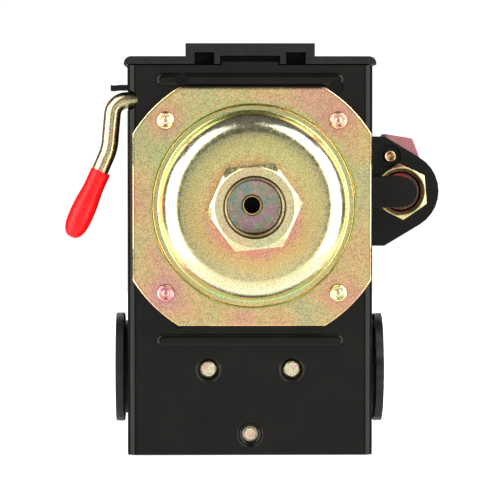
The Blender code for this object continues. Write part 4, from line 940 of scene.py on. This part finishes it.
def port_thread():
    """The port's lining: its thread, its coned floor, and the lip round the small hole."""
    inside, outer = -8.2, 7.35
    bore = [(outer, PORT_SEAT), (outer, PORT_FACE + 0.35), (7.15, PORT_FACE + 0.5), (6.9, PORT_FACE + 0.85)]
    bore += thread_bore(6.75, PORT_FACE + 0.95, -10.6, 1.41, 0.5)
    bore += [(6.2, -10.2), (6.1, -9.75), (5.9, -9.62), (0, -9.45)]
    bore += [(0, -7.2), (9.1, -7.2), (9.2, inside), (7.7, inside), (7.7, PORT_SEAT - 0.1), (outer, PORT_SEAT)]
    liner = turned("port_thread", bore, DOME_AT, count=96)
    lip = [(1.6, -9.5), (1.95, -9.85), (2.3, -9.8), (2.55, -9.45), (2.55, -9.0), (1.6, -9.0)]
    join(liner, turned("lip", rounded(lip, 0.1), HOLE_AT, count=64, ring=True))
    cut(liner, rod("hole", HOLE_AT, 1.9, -11, -6, count=64))
    show(liner, "bore_zinc", "port_fitting", replace=False, smooth=28)


def flange_rivets():
    for node in FLANGE_RIVETS:
        low, high = here(node)
        cup = [(0, 0.3), (0.45, 0.22), (0.8, 0.42), (1.05, 0.42)]
        cup += [(1.35, 0.05), (1.6, 0), (2.0, 0.3), (2.05, 0.7)]
        head = [(2.0, 0), (2.8, 0), (2.75, 0.6), (2.2, 1.2), (0, 1.3)]
        profile = raised(low.y, cup) + raised(high.y - 1.3, head)
        rivet = turned(node + "_fine", rounded(profile, 0.18), on_y(node), count=48)
        show(rivet, "pink_zinc" if node in PINK_RIVETS else "pale_zinc", node, smooth=40)


def plunger_and_diaphragm():
    low, high = here("plunger")
    profile = [(0, low.y), (9.5, low.y), (9.5, low.y + 3.2), (4.0, low.y + 3.8), (4.0, high.y - 0.8)]
    profile += [(2.6, high.y), (0, high.y)]
    show(turned("plunger_fine", rounded(profile, 0.3), PORT_AT, count=72), "steel", "plunger")
    low, high = here("diaphragm")
    profile = [(0, low.y), (22.4, low.y), (22.4, high.y), (0, high.y)]
    show(turned("diaphragm_fine", rounded(profile, 0.2), PORT_AT, count=96), "rubber", "diaphragm")


# ---- lever


def lever():
    depth, height = LEVER_AT
    mouth, tip = Vector((-34.75, depth, 66.0)), Vector((-41.75, depth, 50.6))
    along, length = (tip - mouth).normalized(), (tip - mouth).length
    corners = [(INNER_WALL - 1.1, depth, height), (-31.75, depth, height), (-32.75, depth, 71.2)]
    line = filleted(corners + [tip - along * 3.8], (3.4, 11.0))
    show(tube("lever_rod_fine", line, ROD_RADIUS, 10), "olive_zinc", "lever_rod", smooth=45)
    outside = [(2.15, 0), (2.25, -0.02), (2.35, 0.14)]
    outside += [(radius, share * length) for radius, share in GRIP_SHAPE]
    inside = [(0, length - 3.4), (2.1, length - 3.4), (2.05, 0.1)]
    grip = turned("grip_fine", inside + rounded(outside, 0.8, 5), (0, 0), count=64)
    turn = Vector((0, 1, 0)).rotation_difference(along).to_matrix().to_4x4()
    start = (mouth + ORIGIN) * MM
    grip.data.transform(Matrix.Translation(start) @ turn @ Matrix.Translation(-ORIGIN * MM))
    show(grip, "vinyl", "lever_grip", smooth=60)
    low, high = here("lever_clip")
    profile = [(2.1, low.x), (2.9, low.x), (2.9, high.x), (2.1, high.x)]
    show(turned("clip_fine", profile, LEVER_AT, "X", 48, ring=True), "steel", "lever_clip")


# ---- grommets


def grommets():
    """The cable bushes. The right one's edge has more moulding flash."""
    for name, sign, flash in (("grommet_left", -1, 0.12), ("grommet_right", 1, 0.42)):
        low, high = here(name)
        outer = high.x if sign > 0 else -low.x
        face, wall = outer - 2.1, INNER_WALL - 0.3
        profile = [(5.5, outer - 0.9), (6.0, outer - 0.55), (6.4, outer - 0.9), (8.6, outer - 0.9)]
        profile += [(9.0, outer - 0.35), (9.4, outer), (12.7, outer), (12.85, outer - 0.12)]
        profile += [(12.9, face + 0.3), (12.6, face), (11.0, face), (11.0, wall), (12.2, wall)]
        profile += [(12.1, wall - 0.6)]
        profile += [(11.2, wall - 1.9), (5.5, wall - 1.9)]
        profile = [(radius, sign * along) for radius, along in profile]
        bush = turned(name + "_fine", profile, ENTRY_AT, "X", 96, ring=True)
        roughen(bush, flash, 12.3)
        show(bush, "rubber", name, smooth=38)


def roughen(piece, depth, beyond):
    """Makes the edge beyond a radius about the cable's axis uneven, as moulding flash is."""
    for vert in piece.data.vertices:
        place = vert.co / MM - ORIGIN
        out = Vector((0, place.y - ENTRY_AT[0], place.z - ENTRY_AT[1]))
        if out.length > beyond and abs(place.x) > HALF_WIDTH:
            lift = depth * (noise.noise(place * 1.9) - 0.2)
            vert.co += out.normalized() * min(lift, 0.0) * MM * 1.6


# ---- screws


def screw(node, finish, radius, head_radius, head_height, axis="Y"):
    """A cheese-head screw with a ridged shank and a slot, in its node's place."""
    low, high = here(node)
    if axis == "Y":
        tip, end, centre = low.y, high.y, on_y(node)
    else:
        tip, end, centre = low.x, high.x, on_x(node)
    seat, slot_depth, half_slot, reach = end - head_height, 0.9, 0.42, 5
    profile = [(0, tip), (radius * 0.78, tip), (radius, tip + 0.4)]
    profile += thread(radius, tip + 0.5, seat - 0.2, 0.7, 0.25) + [(radius - 0.2, seat), (head_radius, seat)]
    profile += [(head_radius, end - 0.45), (head_radius - 0.45, end), (0, end)]
    made = turned(node + "_fine", profile, centre, axis, 40)
    slot_low = laid((centre[0] - reach, centre[1] - half_slot), end - slot_depth, axis)
    slot_high = laid((centre[0] + reach, centre[1] + half_slot), end + 1, axis)
    cut(made, block("slot", slot_low, slot_high))
    show(made, finish, node, smooth=20)


def screws():
    for number in (1, 2):
        screw(f"block_screw_{number}", "stud_zinc", 2.0, 2.9, 1.8)
    for number in range(1, 5):
        screw(f"terminal_screw_{number}", "pale_zinc", 1.9, 3.2, 2.2)
    screw("cover_screw", "zinc", 1.6, 3.1, 2.2)
    screw("ground_screw", "green", 1.7, 3.2, 1.4, "X")


def cover_post():
    low, high = here("cover_post")
    tap = high.y - 11.6
    profile = [(0, low.y + 0.06), (0.6, low.y), (1.3, low.y), (1.5, low.y + 0.2), (1.5, 1.8)]
    profile += [(2.7, 1.8), (2.7, high.y - 0.3), (2.4, high.y), (1.9, high.y), (1.9, tap), (0, tap)]
    show(turned("post_fine", profile, POST_AT, count=48), "stud_zinc", "cover_post", smooth=20)


# ---- unloader


def chamfered_nut(name, centre, flats, turn, low, high, bore):
    made = prism(name, hexagon(centre, flats, turn), low, high)
    corner, face = flats / math.sqrt(3) + 0.1, flats / 2 - 0.1
    slope = (corner - face) * math.tan(math.radians(30))
    outline = [(0, low), (face, low), (corner, low + slope), (corner, high - slope), (face, high), (0, high)]
    keep_inside(made, turned("chamfer", outline, centre, count=96))
    cut(made, turned("bore", bore, centre, count=64))
    return softened(made, 0.08, 2)


HEX_FLATS, HEX_TURN = 10.9, 51.2
NUT_FLATS, NUT_TURN, NUT_BORE = 11.7, 34.6, 5.42


def unloader():
    unloader_nut()
    unloader_body()
    locating_rivet()
    unloader_seal()
    low, high = here("unloader_stem")
    profile = [(0, low.y), (0.9, low.y), (1.3, low.y + 0.15), (1.5, low.y + 0.6), (1.5, 20.5), (2.8, 20.5)]
    profile += [(2.8, 21.3), (1.5, 21.3), (1.5, high.y), (0, high.y)]
    show(turned("stem_fine", profile, STEM_AT, count=40), "steel", "unloader_stem", smooth=40)
    tube_fitting()
    bracket_rivets()


def unloader_nut():
    """A nut with a plain bore, and its rough thread as a lining darkened by painted shade."""
    low, high = here("unloader_nut")
    bore = [(0, low.y - 1), (NUT_BORE + 0.13, low.y - 1), (NUT_BORE, low.y + 0.3)]
    bore += [(NUT_BORE, high.y + 1), (0, high.y + 1)]
    nut = chamfered_nut("unloader_nut_fine", STEM_AT, NUT_FLATS, NUT_TURN, low.y, high.y, bore)
    show(nut, "nut_zinc", "unloader_nut", smooth=30)
    outer = NUT_BORE + 0.03
    liner = [(outer, low.y + 0.35)] + thread_bore(5.15, low.y + 0.4, high.y - 0.1, 0.8, 0.35)
    liner = turned("unloader_thread", liner + [(outer, high.y - 0.1)], STEM_AT, count=64, ring=True)
    show(liner, "painted_shade_thread", "unloader_nut", replace=False, smooth=30)


def unloader_body():
    """A threaded barrel through the ear, a hexagon behind it, and the tube's stub behind that."""
    low, high = here("unloader_body")
    seat, root, back = EAR_BACK + 0.3, 4.6, 26.3
    barrel = [(0, low.y), (4.2, low.y), (4.5, low.y + 0.3)]
    barrel += thread(4.62, low.y + 0.4, seat - 0.1, 0.9, 0.35)
    barrel += [(root, seat), (5.4, seat), (5.4, 25.0), (root, back), (0, back)]
    body = turned("unloader_body_fine", barrel, STEM_AT, count=72)
    join(body, softened(prism("hexagon", hexagon(TUBE_AT, HEX_FLATS, HEX_TURN), seat, 26), 0.15))
    stub = [(0, 25), (4.5, 25.5), (4.5, 26)] + thread(4.5, 26, 30.6, 0.9, 0.35) + [(4.1, high.y), (0, high.y)]
    join(body, turned("stub", stub, TUBE_AT, count=56))
    cut(body, rod("tube_bore", TUBE_AT, 3.2, 22, 33, count=56))
    cut(body, rod("stem_bore", STEM_AT, 1.8, 10, 23, count=40))
    cut(body, rod("locating_bore", LOCATING_AT, 1.6, seat - 1, 20.5, count=40))
    show(body, "rose_zinc", "unloader_body", smooth=30)


def locating_rivet():
    low, high = here("locating_rivet")
    cup = [(0, 1.0), (0.55, 0.95), (0.75, 0.35), (0.95, 0.05), (1.2, 0), (1.45, 0.3), (1.5, 0.8)]
    profile = raised(low.y, cup) + [(1.5, high.y), (0, high.y)]
    rivet = turned("locating_fine", rounded(profile, 0.12), LOCATING_AT, count=48)
    show(rivet, "pink_zinc", "locating_rivet", smooth=40)
    # A black-painted ring set in the ear's hole round the rivet: a dark sheet standing for the shade in the
    # hole.
    front, back = EAR_FRONT + 0.9, EAR_BACK - 0.02
    hole_shade = rounded([(1.55, front), (2.8, front), (2.8, back), (1.55, back)], 0.1)
    hole_shade = turned("locating_hole_shade", hole_shade, LOCATING_AT, count=56, ring=True)
    show(hole_shade, "paint", "unloader_bracket", replace=False)


def unloader_seal():
    """A soft ring that sits a little askew in its holder."""
    low, high = here("unloader_seal")
    lip = low.y + 0.8
    ring = [(2.1, low.y + 0.3), (2.5, low.y), (3.4, low.y), (3.7, low.y + 0.3), (3.7, lip), (2.1, lip)]
    seal_at = (STEM_AT[0] - 0.2, STEM_AT[1] + 0.3)
    show(turned("seal_fine", ring, seal_at, count=64, ring=True), "seal", "unloader_seal", smooth=40)
    # The holder takes the same painted shade as the nut's thread.
    ring = [(2.1, lip), (3.9, lip), (4.1, lip + 0.2), (4.1, high.y), (2.1, high.y)]
    holder = turned("seal_retainer", ring, STEM_AT, count=64, ring=True)
    show(holder, "painted_shade_thread", "unloader_seal", replace=False, smooth=40)


def tube_fitting():
    low, high = here("tube_nut")
    bore = [(0, low.y - 1), (4.8, low.y - 1), (4.8, 32), (3.3, 33), (3.3, high.y - 0.4), (3.6, high.y + 0.01)]
    bore += [(3.6, high.y + 1), (0, high.y + 1)]
    nut = chamfered_nut("tube_nut_fine", TUBE_AT, HEX_FLATS, HEX_TURN, low.y, high.y, bore)
    show(nut, "zinc", "tube_nut", smooth=30)
    low, high = here("tube_ferrule")
    ring = [(3.2, low.y), (4.4, low.y), (3.9, high.y - 0.2), (3.2, high.y)]
    show(turned("ferrule_fine", ring, TUBE_AT, count=48, ring=True), "brass", "tube_ferrule")


def bracket_rivets():
    for number in (1, 2):
        node = f"bracket_rivet_{number}"
        low, high = here(node)
        inside, head = INNER_WALL - 0.3, [(1.5, 0), (2.4, 0), (2.35, 0.4), (1.7, 0.95)]
        profile = [(0, low.x), (1.7, low.x), (2.4, low.x + 0.5), (2.4, inside), (1.5, inside)]
        profile += raised(high.x - 1.1, head) + [(0, high.x)]
        rivet = turned(node + "_fine", rounded(profile, 0.2), on_x(node), "X", 40)
        show(rivet, "zinc", node, smooth=40)


# ---- mechanism


def hex_screw(node, radius, flats, head_height):
    """An adjusting screw with a chamfered and slotted hexagon head."""
    low, high = here(node)
    at, head, neck = on_y(node), high.y - head_height, radius - 0.1
    profile = [(0, low.y), (radius - 0.6, low.y), (radius, low.y + 0.6)]
    profile += thread(radius, low.y + 0.7, head - 2.4, 1.0, 0.4)
    profile += [(neck, head - 1), (neck, head + 0.5), (0, head + 0.5)]
    made = turned(node + "_fine", profile, at, count=48)
    crown = prism("crown", hexagon(at, flats, 30), head, high.y)
    corner, face = flats / math.sqrt(3) + 0.1, flats / 2 - 0.1
    outline = [(0, head), (corner, head), (corner, high.y - 0.6), (face, high.y), (0, high.y)]
    keep_inside(crown, turned("chamfer", outline, at, count=72))
    cut(crown, block("slot", (at[0] - 8, high.y - 1.2, at[1] - 0.6), (at[0] + 8, high.y + 1, at[1] + 0.6)))
    join(made, softened(crown, 0.1))
    show(made, "zinc", node)


def springs():
    seat = ACTUATOR_BACK + 0.3
    for name, nut_lip, mean, wire, drawn, turns, steps, sides, travel in SPRINGS:
        at, high = on_y(name + "_screw"), here(name + "_nut")[0].y + nut_lip
        points = coil_points(at, mean, wire, seat, high - 0.3, turns, steps)
        spring = show(tube(name + "_spring_fine", points, drawn, sides), "steel", name + "_spring", smooth=60)
        squeeze(spring, high)
    low, high = here("unloader_spring")
    points = coil_points(STEM_AT, 2.4, 0.35, low.y, high.y, 3.0, 28)
    spring = show(tube("unloader_spring_fine", points, 0.33, 3), "steel", "unloader_spring", smooth=60)
    squeeze(spring, high.y)
    for number in (1, 2):
        node = f"contact_spring_{number}"
        low, high = here(node)
        points = coil_points(on_y(node), 1.5, 0.3, low.y, high.y, 4.0, 24)
        show(tube(node + "_fine", points, 0.28, 3), "steel", node, smooth=60)


def squeeze(spring, anchor_y):
    """Gives a spring a mesh of its own."""
    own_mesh(spring)


def mechanism():
    for finish, width, nodes in COPIED:
        for node in nodes:
            refined(node, finish, width)
    low, high = here("pivot_pin")
    profile = [(0, low.x), (1.6, low.x), (2.0, low.x + 0.4), (2.0, high.x - 0.4), (1.6, high.x), (0, high.x)]
    show(turned("pin_fine", profile, PIVOT_AT, "X", 48), "steel", "pivot_pin", smooth=40)
    hex_screw("range_screw", 3.0, 10.0, 4.0)
    hex_screw("differential_screw", 2.0, 7.0, 3.0)


# ---- studio


def softbox(name, place, size, energy):
    """A rectangular lamp that faces the switch's middle."""
    light = bpy.data.lights.new(name, "AREA")
    light.shape = "RECTANGLE"
    light.size, light.size_y = size
    light.energy = energy
    lamp = placed(name, light)
    lamp.location = place
    lamp.rotation_euler = (Vector((0, 0, 0.05)) - Vector(place)).to_track_quat("-Z", "Y").to_euler()


def world_light(scene):
    """White to the camera. To the object: dim overhead, bright low down, and softly lit round the camera."""
    world = bpy.data.worlds.new("Studio")
    scene.world = world
    world.use_nodes = True
    tree = world.node_tree
    direction = new_node(tree, "TexCoord", {}).outputs["Generated"]

    def glow(axis, start, full, low, high):
        """A strength that goes from low to high as the angle to an axis closes from start to full."""
        inputs = {0: direction, 1: Vector(axis).normalized()}
        nearness = new_node(tree, "VectorMath", inputs, operation="DOT_PRODUCT").outputs["Value"]
        inputs = {"Value": nearness, "To Min": low, "To Max": high}
        inputs["From Min"], inputs["From Max"] = math.cos(math.radians(start)), math.cos(math.radians(full))
        return new_node(tree, "MapRange", inputs, interpolation_type="SMOOTHSTEP").outputs["Result"]

    def added(first, second):
        return new_node(tree, "Math", {0: first, 1: second}, operation="ADD").outputs["Value"]

    sky = glow((0, 0, 1), 80, 50, 0.15, 0.12)
    table = glow((0, 0, -1), 84, 62, 0.0, 1.25)
    lens = glow((0.035, -1, -0.04), 16, 5, 0.0, 0.95)
    white = (1, 1, 1, 1)
    lit = new_node(tree, "Background", {"Color": white, "Strength": added(added(sky, table), lens)})
    seen = new_node(tree, "Background", {"Color": white, "Strength": 1.1})
    to_camera = new_node(tree, "LightPath", {}).outputs["Is Camera Ray"]
    chosen = new_node(tree, "MixShader", {0: to_camera, 1: lit.outputs[0], 2: seen.outputs[0]})
    tree.links.new(chosen.outputs[0], tree.nodes["World Output"].inputs["Surface"])


def studio():
    scene = bpy.context.scene
    scene.view_settings.view_transform = "Standard"
    world_light(scene)
    shape = bmesh.new()
    bmesh.ops.create_circle(shape, cap_ends=True, segments=96, radius=0.7)
    mesh = bpy.data.meshes.new("floor")
    shape.to_mesh(mesh)
    shape.free()
    floor = placed("floor", mesh)
    floor.location = (0, 0, -0.0002)
    floor.visible_glossy = False
    floor.visible_shadow = False
    pale = Finish("pale_floor", (0.9, 0.9, 0.9), 0.7)
    pale.plug("Base Color", pale.ramp(pale.noise(3.0), [(0.3, 0.89), (0.7, 0.91)]))
    pale.set("Emission Color", (1, 1, 1, 1))
    pale.set("Emission Strength", 0.6)
    mesh.materials.append(pale.material)
    softbox("left_box", (-0.52, -0.3, 0.05), (0.62, 0.74), 6.2)
    softbox("right_box", (0.52, -0.3, 0.12), (0.62, 0.8), 6.7)
    softbox("high_right_box", (0.33, -0.34, 0.5), (0.36, 0.32), 1.9)
    softbox("high_left_box", (-0.36, -0.34, 0.5), (0.34, 0.32), 1.8)
    softbox("back_fill", (0.1, 0.9, 0.6), (0.9, 0.5), 5)


def camera():
    """Nearly square on, from slightly left and slightly above."""
    yaw, pitch, distance = math.radians(1.0), math.radians(2.1), 0.7
    target = (Vector((-1.2, 0, 48.9)) + ORIGIN) * MM
    reach = Vector((-math.sin(yaw) * math.cos(pitch), -math.cos(yaw) * math.cos(pitch), math.sin(pitch)))
    data = bpy.data.cameras.new("camera")
    seen_width, sensor = 0.1138, 36.0
    data.sensor_width = sensor
    data.lens = sensor * distance / seen_width
    data.clip_start = 0.01
    view = placed("camera", data)
    view.location = target + reach * distance
    view.rotation_euler = (-reach).to_track_quat("-Z", "Y").to_euler()
    bpy.context.scene.camera = view


camera()
studio()
base_frame()
cover()
pressure_flange()
port_fitting()
port_thread()
flange_rivets()
plunger_and_diaphragm()
lever()
grommets()
screws()
cover_post()
unloader()
mechanism()
springs()
